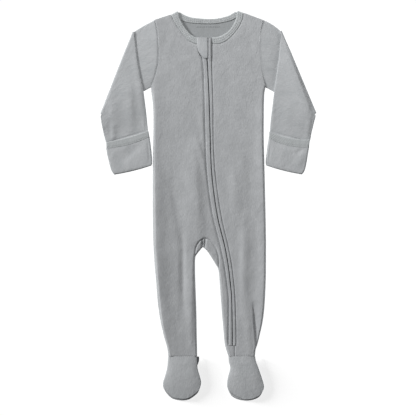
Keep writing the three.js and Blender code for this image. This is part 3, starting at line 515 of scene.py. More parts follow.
# %% [markdown]
# ## The front
# On the real garment the front is cut in two parts that meet at the zip. It lies on the back, so
# its sides roll down to the floor like the edge of a folded blanket, and long soft folds run down
# it. It could be draped by simulation, but a garment that was laid out by hand keeps its folds
# where the hand left them, so each fold is placed as a soft ridge or trough.

# %% Height of the front
FRONT_TOP = 4.9  # the laid front above the floor
SEAM_LOW = 0.7  # where front and back meet at the sides
FRONT_FOLDS = [
    # x1, y1, x2, y2, bow, width on its left, width on its right, height
    (-82.4, 205, -82.6, -30, 0, 2, 12, 1.6),
    (-82.2, 70, -79, -140, 0, 2, 14, 3.2),
    (-79, -66, -61, -236, 3, 2, 14, 2.9),
    (-21, 112, -2, 34, -2, 5, 3.5, 1.0),
    (-12, 150, -5, 92, 0, 5, 3, 0.6),
    (-24, 104, -13, -62, 0, 16, 9, 2.8),
    (-57, 45, -39, -66, 0, 6, 9, -1.3),
    (-39.5, -30, -38.5, -170, 0, 5, 4, -2.0),
    (-24, -66, -26, -226, 1, 7, 4, 1.6),
    (84.5, 190, 85.5, -60, 0, 12, 3, 2.7),
    (86, -10, 77.5, -226, -4, 10, 3, 2.6),
    (50, 112, 53, -12, 0, 14, 8, 0.9),
    (38, 64, 44, -34, 0, 8, 10, 1.3),
    (56, -6, 55, -176, 1, 6, 9, 1.9),
    (60, -140, 64, -236, 0, 8, 5, 1.0),
    (69, -146, 75.4, -230, 0, 1.5, 8, -2.7),
    (-9.2, -51, -9.5, -67, -0.6, 1.6, 1.5, -3.8),
    (-4.2, -50, -4.6, -68, 1.4, 1.7, 1.8, -3.8),
    (-6.9, -52, -7.2, -66, 0, 1.0, 1.0, 1.6),
    (-11, -56, -19, -74, -1, 4, 3, -0.9),
    (-44, 230, -40, 100, 3, 16, 18, 0.5),
    (42, 236, 44, 90, -3, 18, 20, 0.5),
    (-60, 270, -66, 238, 2, 6, 8, -0.4),
    (60, 266, 68, 232, -2, 8, 6, -0.4),
]
SEAM_LINES = [  # line, depth, width
    (pairs(CROTCH, "seam"), 1.1, 1.3),
    (pairs(NECK_RIGHT, "seam"), 0.9, 1.3),
    (pairs(NECK_LEFT, "seam"), 0.4, 1.2),
    (edge_line(lambda y: zip_edge("right", y, 0.2), 258, ZIP_END, 60), 1.3, 1.7),
    (edge_line(lambda y: zip_edge("left", y, 0.2), 258, ZIP_END, 60), 0.5, 1.3),
    (np.array([(CLOSED_X, ZIP_END), (CLOSED_X, ANKLE)]), 0.6, 1.2),
    (np.array([(-62.0, ANKLE), (-17.0, ANKLE)]), 0.12, 1.2),
    (np.array([(31.0, ANKLE), (72.0, ANKLE)]), 0.12, 1.2),
]


def roll(distance, width, low, top):
    """How far cloth drops at a distance from an edge, along a quarter of an ellipse."""
    return (top - low) * (1 - rounded(distance / width))


def front_height(x, y):
    """The outer side of the laid front."""
    edge = np.min([away(x, y, line) for line in free_edges], axis=0)
    left = np.min([away(x, y, line) for line in left_edges], axis=0)
    arm = np.min([away(x, y, line) for line in armhole_edges], axis=0)
    drop = np.maximum(roll(edge, 3.8, SEAM_LOW, FRONT_TOP), roll(left, 3.2, SEAM_LOW, FRONT_TOP))
    drop = np.maximum(drop, roll(arm, 0.5, 4.6, FRONT_TOP))
    inside = 1 - np.clip(drop / 2.5, 0, 1)
    grooves = [deep * np.exp(-((away(x, y, line) / width) ** 2)) for line, deep, width in SEAM_LINES]
    return FRONT_TOP - drop + inside * (folds_at(FRONT_FOLDS, x, y) - np.max(grooves, axis=0))


# %% Panels between two edges
ROW_STEP = 1.7  # height of a panel's rows below the underarm


def panel_rows(tops, marks):
    """Heights of a panel's rows: a fan from its top line to the underarm, then level rows."""
    fan = np.linspace(1, 0, 46)
    level = np.union1d(np.arange(ARMPIT - ROW_STEP, ANKLE, -ROW_STEP), np.append(marks, ANKLE))[::-1]
    heights = [np.append(ARMPIT + (top - ARMPIT) * fan, level) for top in tops]
    return np.append(fan, level * 0), heights


def panel(fade, edge_a, edge_b, top, columns):
    """Flat places between two edges, drawn up to the panel's top line."""
    share = columns[None, :, None]
    body = edge_a[:, None] * (1 - share) + edge_b[:, None] * share
    chord = edge_a[0] * (1 - share[0]) + edge_b[0] * share[0]
    return body + fade[:, None, None] * (top(columns) - chord)


def top_line(side, neck):
    """The shoulder as the first stretch of a panel's top, then its neckline."""
    share = 0.3
    shoulder, seam = SHOULDER[side], line_through(neck)
    return lambda u: np.where(
        (u < share)[:, None],
        shoulder[0] + (shoulder[1] - shoulder[0]) * np.clip(u / share, 0, 1)[:, None],
        seam((u - share) / (1 - share)),
    )


# %% Front on the wearer's right
JERSEY_THICK = 1.1
ZIP_MARKS = [ZIP_END - 2, ZIP_END - 2.01]  # rows where the fronts close below the zip
apex = pairs(CROTCH, "seam")[CROTCH_TOP]
neck_seam = pairs(NECK_RIGHT, "seam")
centre = neck_seam[NECK_CENTRE]
fade, (outer_y, centre_y, zip_y) = panel_rows(
    [SHOULDER_TOP, centre[1], neck_seam[0, 1]], np.append(CROTCH["seam_y"], ZIP_MARKS)
)


def middle_line(side):
    """The line down the front to the crotch, and then the leg's inner edge."""
    above = centre[0] + (apex[0] - centre[0]) * (centre[1] - centre_y) / (centre[1] - apex[1])
    return np.stack([np.where(centre_y > apex[1], above, inner_edge(side, centre_y, "seam")), centre_y], -1)


outer_line = line_at(lambda y: outer_edge("right", y), outer_y)
zip_line = line_at(lambda y: zip_edge("right", y, 0.15), zip_y)
right_top = top_line("right", neck_seam[: NECK_CENTRE - 1 : -1])
right_patches = [
    laid(panel(fade, outer_line, middle_line("right"), right_top, spread(56, 0.5)), front_height, JERSEY_THICK),
    laid(panel(fade, middle_line("left"), zip_line, line_through(neck_seam[NECK_CENTRE::-1]), spread(16, 0.3)),
         front_height, JERSEY_THICK),
]
front_right = wall("front_right_cloth", right_patches, jersey)

# %% Front on the wearer's left
neck_seam_left = pairs(NECK_LEFT, "seam")
fade, (outer_y, zip_y) = panel_rows([SHOULDER_TOP, neck_seam_left[0, 1]], ZIP_MARKS)
outer_line = line_at(lambda y: outer_edge("left", y), outer_y)
zip_line = line_at(lambda y: zip_edge("left", y, 0.15), zip_y)
front_left = wall(
    "front_left_cloth",
    [laid(panel(fade, outer_line, zip_line, top_line("left", neck_seam_left[::-1]), spread(56, 0.5)),
          front_height, JERSEY_THICK)],
    jersey,
)

# %% [markdown]
# ## The crotch gusset
# A small lobed piece fills the curve between the legs and folds down to the back. Its grid runs
# from the curved seam to the fold, so the knit and the small pinch in it follow the curve.

# %% Gusset
seam_row = smooth_rows(pairs(CROTCH, "seam"), spread(70))
edge_row = smooth_rows(pairs(CROTCH, "edge"), spread(70))
lobe = spread(14)[None, :, None]
start = 0.15 / np.linalg.norm(seam_row - edge_row, axis=1)[:, None, None]
lobe = start + (1 - start) * lobe
gusset = wall(
    "crotch_gusset_cloth",
    [laid(seam_row[:, None] * (1 - lobe) + edge_row[:, None] * lobe, front_height, JERSEY_THICK)],
    jersey,
)

# %% [markdown]
# ## The back
# One plain panel lies on the floor. Its sides curve up to meet the front, and where the front's
# folds lift the cloth, the back has its own shallow hollows, pressed flat against the floor
# between them. Its upper side shows inside the neck.

# %% Back
BACK_FOLDS = [
    (-60, 180, -58, -50, 2, 7, 9, 0.6),
    (-20, 130, -24, 10, -2, 9, 9, 0.5),
    (36, 200, 40, 30, 3, 8, 10, 0.6),
    (66, 70, 64, -90, -1, 6, 6, 0.7),
    (-50, -80, -46, -210, 1, 6, 6, 0.6),
    (46, -90, 52, -215, -1, 6, 6, 0.6),
]


def back_height(x, y):
    """The upper side of the back."""
    edge = np.min([away(x, y, line) for line in free_edges], axis=0)
    inside = np.clip(edge / 9, 0, 1)
    return 0.9 - roll(edge, 2.2, 0.4, 0.9) + inside * folds_at(BACK_FOLDS, x, y)


back_neck = smooth_rows(pairs(NECK_BACK, "seam"), spread(60)) + np.array([0, 0.8])
back_apex = pairs(CROTCH, "edge")[CROTCH_TOP]
back_centre = np.array([0.0, back_neck[30, 1]])
fade, (outer_y, centre_y) = panel_rows([SHOULDER_TOP, back_centre[1]], CROTCH["edge_y"])


def back_middle(side):
    """The line down the back to the crotch, and then the leg's inner edge."""
    down = (back_centre[1] - centre_y) / (back_centre[1] - back_apex[1])
    above = back_centre[0] + (back_apex[0] - back_centre[0]) * down
    x = np.where(centre_y > back_apex[1], above, inner_edge(side, centre_y, "edge"))
    return np.stack([x, centre_y], -1)


def back_patch(side, neck):
    """Half of the back, as upper side and lower side. Both halves run from right to left."""
    edge = line_at(lambda y: outer_edge(side, y), outer_y)
    corner = SHOULDER[side][0] * 0.1 + SHOULDER[side][1] * 0.9
    line = np.vstack([[corner], neck])
    flat = panel(fade, edge, back_middle(side), top_line(side, line), spread(34, 0.4))
    upper, lower, places = laid(flat, back_height, 0.8)
    lower[..., 2] = np.maximum(lower[..., 2], 0.0)
    order = slice(None, None, 1 if side == "right" else -1)
    return upper[:, order], lower[:, order], places[:, order]


neck_from_right = np.vstack([back_neck[:30], [back_centre]])
neck_from_left = np.vstack([back_neck[:30:-1], [back_centre]])
back_halves = [back_patch("right", neck_from_right), back_patch("left", neck_from_left)]
# the back is painted darker, as painted shade inside the neck
back = wall("back_cloth", back_halves, inside_jersey_painted_shade)

# %% [markdown]
# ## Flattened tubes
# A sleeve or a mitten cuff is a tube that lies flat: two layers with a round fold at each side.
# `ring_places` goes once round such a section, in shares of its width, and `tube_patch` lays the
# rings through a list of sections. The last column repeats the first, and the weld joins them.

# %% Tubes from sections
def ring_places(width, half, inset, across):
    """Shares across and shares of the half thickness, once round a flattened section."""
    turn = np.linspace(0, np.pi / 2, 8)
    from_end = (inset + (1 - np.cos(turn))[None] * (half - inset)[:, None]) / width[:, None]
    middle = np.linspace(0, 1, across + 1)[1:-1]
    inner = from_end[:, -1:] + (1 - 2 * from_end[:, -1:]) * middle[None]
    share = np.concatenate([from_end, inner, 1 - from_end[:, ::-1]], axis=1)
    full = np.concatenate([np.sin(turn), middle * 0 + 1, np.sin(turn)[::-1]])
    share = np.concatenate([share, share[:, -2:0:-1], share[:, :1]], axis=1)
    return share, np.concatenate([full, -full[-2:0:-1], full[:1]])


def tube_patch(ends_a, ends_b, face, half, thick, across, bend, crown, shown, thin):
    """A patch round a flattened tube: ends of each section, its face, half thickness and crown."""
    width = np.linalg.norm(ends_b - ends_a, axis=1)
    sides = []
    for inset in (0.0, thick):
        share, full = ring_places(width, half, inset, across)
        place = ends_a[:, None] * (1 - share[..., None]) + ends_b[:, None] * share[..., None]
        place = place + bend(share)
        raised = np.where(full[None] * shown[:, None] > 0, crown(place, share), 0)
        pressed = thin[:, None] + (1 - thin[:, None]) * np.clip(share / 0.3, 0, 1)
        depth = full[None] * np.maximum(half[:, None] * pressed - inset, 0.02)
        depth = depth + np.sign(full)[None] * raised * np.abs(full)[None] ** 2
        sides.append(place + face[:, None] * depth[..., None])
    around = np.linalg.norm(np.diff(sides[0], axis=1, prepend=sides[0][:, :1]), axis=-1).cumsum(axis=1)
    centre_line = (ends_a + ends_b) / 2
    along = np.concatenate([[0], np.linalg.norm(np.diff(centre_line, axis=0), axis=1).cumsum()])
    flat = np.dstack([around, -np.repeat(along[:, None], around.shape[1], axis=1)])
    return sides[0], sides[1], flat


# %% [markdown]
# ## The sleeves
# Each sleeve leaves its armhole, turns over a slanted fold line and comes down on itself, so the
# cuff lies beside the body. The sections go out from the armhole, half round the fold and down
# into the cuff. Its cloth is painted a little lighter than the front's, as painted light.

# %% Sleeve tables
SLEEVE_ROWS = "inner_x inner_y outer_x outer_y inner_z outer_z"
SLEEVE = {
    "right": table(SLEEVE_ROWS, [
        (113.6, 259, 165.8, 137.2, 3.8, 4.4), (111.4, 243, 165.3, 132.6, 3.9, 4.3),
        (109, 224, 164.3, 126, 4.1, 4), (105, 202.5, 163.1, 120, 4.4, 3.6),
        (100.4, 181, 161.8, 114, 4.2, 2.6), (97.6, 161, 160.8, 109, 3.2, 1.8),
        (95.3, 142, 159.7, 105, 2.1, 1.5), (93.9, 128, 158.8, 101.6, 1.6, 1.6), (92.8, 117, 157.5, 97.4, 2, 2),
        (91.8, 106, 155.6, 89.6, 2.45, 2.45), (90.1, 94, 154, 79.4, 2.45, 2.45),
        (88.8, 82, 151.4, 70, 2.45, 2.45),
    ]),
    "left": table(SLEEVE_ROWS, [
        (112, 259, 165.2, 138, 3.8, 4.4), (110.2, 243, 164.2, 133, 3.9, 4.3),
        (108.2, 224, 162.4, 126.4, 4.1, 4), (105.2, 202.5, 160.9, 120, 4.4, 3.6),
        (102, 181, 159.5, 114.6, 4.2, 2.6), (99.5, 161, 158.6, 110, 3.2, 1.8),
        (97.2, 142, 157.9, 106, 2.1, 1.5), (95.6, 128, 157.4, 102.6, 1.6, 1.6), (94.7, 115.6, 156, 98.4, 2, 2),
        (94.2, 103.6, 154, 91.6, 2.45, 2.45), (92.4, 92, 151.9, 80.4, 2.45, 2.45),
        (91.2, 80, 150, 70, 2.45, 2.45),
    ]),
}
FOLD_LINE = {
    "right": ((116.2, 268.4), (166.5, 141.4)),
    "left": ((112.9, 269.8), (166.7, 142.2)),
}
SLEEVE_FOLDS = {
    "right": [
        (-114.5, 256, -95.5, 118, 0, 6, 2, 1.3),
        (-121, 200, -117, 104, 0, 9, 6, 1.2),
        (-150, 176, -143, 112, 1, 5, 8, 0.7),
        (-157, 136, -153, 96, 0, 3, 4, 0.6),
        (-148, 128, -146, 94, 0, 3.5, 6, 1.5),
        (-99.5, 140, -98.5, 108, 0, 1.3, 1.3, 0.6),
        (-100, 101, -142, 64, -2, 12, 7, -1.2),
        (-97, 96, -93, 66, 0, 5, 2, 0.6),
        (-93.4, 108, -90.2, 62, 0, 1.1, 1.1, -1.0),
        (-150, 82, -143, 56, 0, 3, 5, 0.5),
    ],
    "left": [
        (118, 250, 166, 120, 0, 16, 3, 2.3),
        (159.5, 146, 151.5, 98, 0, 4, 3, 1.3),
        (156, 176, 147, 96, 0, 24, 5, 1.3),
        (101, 172, 99, 112, 0, 4, 2.5, 0.6),
        (124, 168, 122, 106, 0, 9, 9, 0.5),
        (153, 92, 134, 79, 1, 4, 5, -1.0),
        (146, 84, 138, 58, 0, 6, 6, 0.7),
        (97, 98, 92, 62, 0, 1.6, 1.6, -0.8),
        (112, 92, 116, 60, 0, 9, 9, 0.4),
    ],
}
HALF = 1.4  # half of a sleeve's two layers
TURN = (1.2, 1.5)  # radius of the sleeve's turn at the top and at the bottom of its fold
THIN = 0.62  # the sleeve's edge at the top of the fold is pressed to this share
SHOULDER_BULGE = {"right": 0.6, "left": 2.0}  # rise of the sleeve's top between seam and fold
CAP_RISE = 1.9  # rise of the sleeve's upper layer where it meets the front's height at the armhole
SEAM_SINK = {"right": 0.6, "left": -0.2}  # share of the cap's rise that the armhole's seam pulls down
CAP_SINK = {"right": 0.2, "left": 2.0}  # how far the upper sleeve sinks beside its folded part
IN_CUFF = 3  # rows of each sleeve that lie inside its cuff


# %% Sleeves
def sleeve_piece(side):
    """One sleeve as a folded tube."""
    sign = SIGN[side]
    mirror = np.array([sign, 1, 1])
    top, bottom = (np.array([sign * x, y, 0]) for x, y in FOLD_LINE[side])
    run = (bottom - top) / np.linalg.norm(bottom - top)
    outward = np.array([run[1], -run[0], 0]) * -sign
    fold_a = top - outward * (TURN[0] + HALF * THIN)
    fold_b = bottom - outward * (TURN[1] + HALF)
    seam = line_through(np.stack([ARMHOLE[side] + sign * 0.1, ARMHOLE["y"]], -1))
    arm_top, armpit = seam(np.array([0.0, 1.0]))
    t = np.linspace(0, 1, 34)[:-1] ** 1.5
    lift = np.array([0, 0, HALF])
    cap_a = np.append(arm_top, 0) * (1 - t)[:, None] + fold_a * t[:, None] + lift
    cap_b = np.append(armpit, 0) * (1 - t)[:, None] + fold_b * t[:, None] + lift
    turn = np.linspace(0, np.pi, 15)
    shift_a, shift_b = (
        outward * (np.sin(turn) * radius)[:, None] + lift + np.outer(radius * (1 - np.cos(turn)), [0, 0, 1])
        for radius in TURN
    )
    turn_face = -outward * np.sin(turn)[:, None]
    turn_face[:, 2] += np.cos(turn)
    rows = SLEEVE[side]
    share = np.linspace(0, 1, 96)
    names = SLEEVE_ROWS.split()
    line = smooth_rows(np.stack([rows[name] for name in names], -1), share)
    over_a = line[:, [0, 1, 4]] * mirror
    over_b = line[:, [2, 3, 5]] * mirror
    row_at = share * (len(rows["inner_x"]) - 1)
    in_cuff = len(rows["inner_x"]) - IN_CUFF
    over_half = np.interp(row_at, [0, in_cuff - 2, in_cuff - 1], [HALF, HALF, HALF - 0.3])
    from_ends = np.clip(np.minimum(in_cuff - 1 - row_at, row_at + 1) / 3, 0, 1)
    ends_a = np.vstack([cap_a, fold_a + shift_a, over_a])
    ends_b = np.vstack([cap_b, fold_b + shift_b, over_b])
    face = np.vstack([np.tile([0, 0, 1.0], (len(t), 1)), turn_face, np.tile([0, 0, -1.0], (len(share), 1))])
    half = np.concatenate([np.full(len(t) + len(turn), HALF), over_half])
    swell = np.concatenate([t * 0, turn * 0, from_ends])
    thin = np.concatenate([t * 0 + THIN, turn * 0 + THIN, THIN + (1 - THIN) * np.clip(row_at / 5, 0, 1)])
    shown = np.concatenate([t * 0 + 1, turn * 0, share * 0 - 1])
    curve = np.concatenate([(1 - t) ** 2, turn * 0, share * 0])

    def bend(s):
        flat = seam(s.ravel()).reshape(*s.shape, 2) - (arm_top * (1 - s[..., None]) + armpit * s[..., None])
        rows_t = np.concatenate([t, turn * 0 + 1, share * 0 + 1])[:, None]
        full = SHOULDER_BULGE[side] * 4 * rows_t * (1 - rows_t) * (1 - s) ** 4
        flat = flat * curve[:, None, None]
        return np.dstack([flat[..., 0], flat[..., 1] + full, np.zeros(s.shape)])

    def crown(place, s):
        on_cap = (shown > 0)[:, None]
        round_off = np.clip(4 * s * (1 - s), 0, 1)
        rows_t = np.concatenate([t, turn * 0 + 1, share * 0 + 1])[:, None]
        from_seam = rows_t * np.linalg.norm(ends_a[len(t)] - ends_a[0])
        gone = away(place[..., 0], place[..., 1], over_a[:60:6, :2])
        beside = (0.4 * np.exp(-gone / 12) + 0.6 * np.exp(-gone / 3.5)) * CAP_SINK[side]
        by_seam = 1 - SEAM_SINK[side] * np.exp(-(from_seam**2))
        level = (CAP_RISE * (1 - rows_t) ** 1.3 - beside) * (1 - s**9) * by_seam
        body = np.where(on_cap, level * round_off**0.15, swell[:, None] * 0.7 * round_off**0.7)
        folds = folds_at(SLEEVE_FOLDS[side], place[..., 0], place[..., 1])
        above_band = (len(rows["inner_x"]) - IN_CUFF - 0.85 - row_at) * 11
        dip = np.concatenate([t * 0, turn * 0, 0.7 * np.exp(-((above_band / 1.7) ** 2))])[:, None]
        kept = np.concatenate([t * 0, turn * 0, np.clip((in_cuff - 0.8 - row_at) / 0.8, 0, 1)])[:, None]
        return body + np.where(on_cap, 0, kept * folds * round_off**0.4) - dip * round_off**0.3

    patch = tube_patch(ends_a, ends_b, face, half, 0.9, 62, bend, crown, shown, thin)
    return wall(f"sleeve_{side}_cloth", [patch], painted_lighter_jersey)


sleeves = {side: sleeve_piece(side) for side in SIGN}

# %% [markdown]
# ## The mitten cuffs
# A mitten cuff is a flat pocket that folds over the baby's hand. Its closed end is round, and the
# sleeve goes in at its top, under a knitted band that is stitched down.

# %% Cuff tables
CUFF_HALF = 2.45  # half of a cuff's thickness
CUFF_ROWS = "inner_x inner_y outer_x outer_y sag"
CUFF = {
    "right": table(CUFF_ROWS, [
        (90.2, 106.3, 157.2, 88.2, 3.7), (88.5, 94, 155.6, 78, 2.4),
        (87.2, 82, 153.2, 68.4, 1.4), (86.4, 71.5, 150.5, 57.6, 1.2),
        (86.4, 65, 148, 52, 1.3), (87.6, 61.6, 144.6, 47.6, 1.4),
    ]),
    "left": table(CUFF_ROWS, [
        (92.8, 103.8, 155.4, 90.4, 5), (91, 92, 153.4, 79, 3.4),
        (89.7, 80, 151.8, 68.6, 2), (88.5, 70.4, 149.6, 58, 1.3),
        (88.6, 64.8, 147.2, 51.8, 1.3), (89.8, 61.6, 144.2, 48, 1.4),
    ]),
}
BAND_TOP = {
    "right": ((91.9, 115.4), (157.4, 97.4), 1.6),
    "left": ((93.6, 113.8), (156.8, 101.6), 3.6),
}


# %% Cuffs and bands
def cuff_lines(side, share):
    """Ends and sag of a cuff's sections."""
    rows = CUFF[side]
    return smooth_rows(np.stack([rows[name] for name in CUFF_ROWS.split()], -1), share)


def cuff_piece(side):
    """One mitten cuff as a pocket that closes at its end."""
    sign = SIGN[side]
    share = np.append(np.linspace(0, 0.97, 44), 1 - 0.03 * (1 - np.sin(np.linspace(0, np.pi / 2, 7)[1:])))
    line = cuff_lines(side, share)
    closing = np.sqrt(np.clip(1 - np.clip((share - 0.88) / 0.12, 0, 1) ** 2.5, 0, 1))
    half = CUFF_HALF * closing
    mirror = np.array([sign, 1, 1])
    ends_a = np.column_stack([line[:, 0], line[:, 1], share * 0 + CUFF_HALF]) * mirror
    ends_b = np.column_stack([line[:, 2], line[:, 3], share * 0 + CUFF_HALF]) * mirror
    sag = line[:, 4]

    def bend(s):
        drop = np.zeros((*s.shape, 3))
        drop[..., 1] = -sag[:, None] * 4 * s * (1 - s)
        return drop

    def crown(place, s):
        fade_ends = np.clip(share / 0.12, 0, 1) * np.clip((1 - share) / 0.2, 0, 1)
        folds = folds_at(SLEEVE_FOLDS[side], place[..., 0], place[..., 1])
        return fade_ends[:, None] * np.clip(4 * s * (1 - s), 0, 1) ** 0.6 * (0.6 + folds)

    face = np.tile([0, 0, 1.0], (len(share), 1))
    patch = tube_patch(ends_a, ends_b, face, half, 0.8, 48, bend, crown, share * 0 + 1, share * 0 + 1)
    return wall(f"cuff_{side}_cloth", [patch], painted_lighter_jersey)


BAND_ACROSS = np.linspace(0.004, 0.994, 160)  # shares of a cuff's width where its band has points
BAND_SEAM = 0.84  # share of the band's width where it is stitched down
BAND_LONG, BAND_WIDE, BAND_RIB = 68, 9.5, 3.4  # the band's length, width and rib, in millimetres


def band_line(side, v):
    """Points across a cuff's band, v of the way down it."""
    sign = SIGN[side]
    s = BAND_ACROSS
    (ax, ay), (bx, by), sag = BAND_TOP[side]
    low = cuff_lines(side, np.array([0.0]))[0]
    bow = 4 * s * (1 - s)
    top = np.stack([ax + (bx - ax) * s, ay + (by - ay) * s - sag * bow], -1)
    end = np.stack([low[0] + (low[2] - low[0]) * s, low[1] + (low[3] - low[1]) * s - low[4] * bow], -1)
    return (top * (1 - v) + end * v) * np.array([sign, 1])


def band_height(s, v):
    """The band's outer side: slanted ribs, rolled down at its ends and sunk at its two seams."""
    top = np.clip(v / 0.1, 0, 1)
    low = np.clip((1 - v) / 0.12, 0, 1)
    groove = 0.3 * np.exp(-(((v - BAND_SEAM) / 0.07) ** 2)) - 0.09 * np.sin(2 * np.pi * (s * BAND_LONG + v * 8) / BAND_RIB)
    ends = rounded(np.minimum(s, 1 - s) / 0.035)
    return 3.2 + 2.2 * ends - 0.5 * (1 - top) ** 2 - 0.25 * (1 - low) ** 2 - groove


def band_piece(side):
    """The knitted band over a cuff's open edge."""
    v = spread(16, 0.5)
    flat = np.stack([band_line(side, share * 0.995) for share in v])
    height = band_height(BAND_ACROSS[None], v[:, None])
    outer = np.dstack([flat, height])
    inner = np.dstack([flat, np.maximum(height - 1.2, 2.4)])
    cloth = np.dstack(np.meshgrid(BAND_ACROSS * BAND_LONG, v * BAND_WIDE))
    return wall(f"cuff_band_{side}_cloth", [(outer, inner, cloth)], rib_knit)


cuffs = {side: cuff_piece(side) for side in SIGN}
bands = {side: band_piece(side) for side in SIGN}

# %% [markdown]
# ## The neck binding
# A folded strip of rib knit binds the neck. It lies on the front, turns over each shoulder point
# and runs round the back of the neck. Its section is a flat lens, laid along rows of edge and
# seam places, and it turns half round where the front meets the back.

# %% Neck binding
BINDING = 2.0  # thickness of the folded strip
BINDING_FRONT = 4.3  # middle of the strip on the front, above the floor


def binding_turn(rows):
    """Edge and seam places where the strip starts to turn, and the way that it bulges."""
    edge, seam = pairs(rows, "edge")[-1], pairs(rows, "seam")[-1]
    way = (edge - seam) / np.linalg.norm(edge - seam)
    outward = np.array([way[1], -way[0]])
    outward *= 1 if outward[1] > 0 else -1
    inset = outward * -(BINDING_FRONT / 2 + BINDING / 4)
    return edge + inset, seam + inset, outward


def binding_sections():
    """Edge, seam and face of every section, from the right of the zip round to its left."""
    edge, seam, face = [], [], []

    def lie(rows, z, up, steps, backwards):
        share = spread(steps)[:: -1 if backwards else 1]
        for line, kind in ((edge, "edge"), (seam, "seam")):
            flat = smooth_rows(pairs(rows, kind), share)
            line.extend(np.column_stack([flat, share * 0 + z]))
        face.extend([(0, 0, up)] * len(share))

    def turn(rows, backwards):
        a, b, outward = binding_turn(rows)
        for angle in np.linspace(0, np.pi, 11)[:: -1 if backwards else 1]:
            radius = (BINDING_FRONT - BINDING / 2) / 2
            flat = outward * radius * math.sin(angle)
            z = BINDING / 2 + radius * (1 - math.cos(angle))
            edge.append(np.append(a + flat, z))
            seam.append(np.append(b + flat, z))
            face.append(np.append(-outward * math.sin(angle), math.cos(angle)))

    right, left = ({name: column[:-1] for name, column in rows.items()} for rows in (NECK_RIGHT, NECK_LEFT))
    lie(right, BINDING_FRONT, -1, 40, False)
    turn(NECK_RIGHT, True)
    lie(NECK_BACK, BINDING / 2, 1, 44, False)
    turn(NECK_LEFT, False)
    lie(left, BINDING_FRONT, -1, 40, True)
    return np.array(edge), np.array(seam), np.array(face, float)


edge, seam, face = binding_sections()
across = spread(36, 0.5)
lens_shape = (1 - np.abs(2 * across - 1) ** 5) ** 0.5
for row, depth in ((0.36, 0.34), (0.68, 0.42)):
    lens_shape = lens_shape - depth * np.exp(-(((across - row) / 0.045) ** 2))
strip = edge[:, None] * (1 - across[None, :, None]) + seam[:, None] * across[None, :, None]
shown_side = np.where(face[:, 2:] < -0.5, -1, 1)
depth = (lens_shape * BINDING / 2)[None, :, None] * face[:, None]
run = np.concatenate([[0], np.linalg.norm(np.diff((edge + seam) / 2, axis=0), axis=1).cumsum()])
flat = np.dstack([np.repeat(run[:, None], len(across), axis=1), np.repeat(across[None] * 10, len(run), axis=0)])
binding = wall("neck_binding_cloth", [(strip + depth, strip - depth, flat)], rib_knit)

# %% [markdown]
# ## The zip
# A nylon coil zip lies under the folded edges of both fronts, which leave a slot between them.
# The folded edges are stitched down, so each one is a rounded roll at the slot that sinks into
# the line of stitches on its other side.

# %% Folded edges over the zip
WELT_TOP = 5.5


def welt_piece(side):
    """The folded edge of one front beside the slot."""
    sign = SIGN[side]
    y = np.linspace(257.8, ZIP_END - 1.4, 300)[:, None]
    u = spread(20, 0.4)[None]
    slot = read(ZIP, "slot", y)
    x = (slot + sign * 0.55) * (1 - u) + zip_edge(side, y) * u
    profile = rounded(u / 0.18) * (1 - 0.75 * np.clip((u - 0.72) / 0.28, 0, 1) ** 2)
    soft = 0.12 * np.sin(y / 7.3 + sign) * np.sin(y / 19.0)
    height = 3.9 + (WELT_TOP - 3.9 + soft) * profile
    if side == "left":
        height = height + 1.1 * np.clip((y - 222) / 9, 0, 1) ** 0.7 * np.exp(-np.abs((x - 2.5) / 2.4) ** 8)
    outer = np.dstack([x, y + 0 * u, height])
    inner = np.dstack([x, y + 0 * u, np.minimum(height - 0.2, 3.6 + 0 * height)])
    return wall(f"zip_welt_{side}_cloth", [(outer, inner, outer[..., :2])], jersey)


def tape_piece(side):
    """Half of the woven tape, with a bead along its edge."""
    sign = SIGN[side]
    y = np.linspace(257.5, ZIP_END + 1, 200)[:, None]
    step = np.array([0.25, 0.5, 1.4, 1.7, 3, 9])[None]
    top = np.array([2.5, 2.9, 2.9, 2.4, 2.4, 2.4])[None]
    x = read(ZIP, "slot", y) + sign * step
    outer = np.dstack([x, y + 0 * step, top + 0 * y])
    inner = np.dstack([x, y + 0 * step, 1.6 + 0 * x])
    return wall(f"zip_tape_{side}_woven", [(outer, inner, outer[..., :2])], tape_weave)


welts = {side: welt_piece(side) for side in SIGN}
tapes = {side: tape_piece(side) for side in SIGN}

# %% [markdown]
# ## What repeats along a line
# Stitches, the turns of the zip's coil and the ribs of a band all repeat along a line. One
# Geometry Nodes tree sets a small rounded bead at even steps along a line, turned with it. Its
# inputs are the step, the bead's three sizes and its material. The beads are made real and the
# modifier is taken off again, so a plain mesh is left.

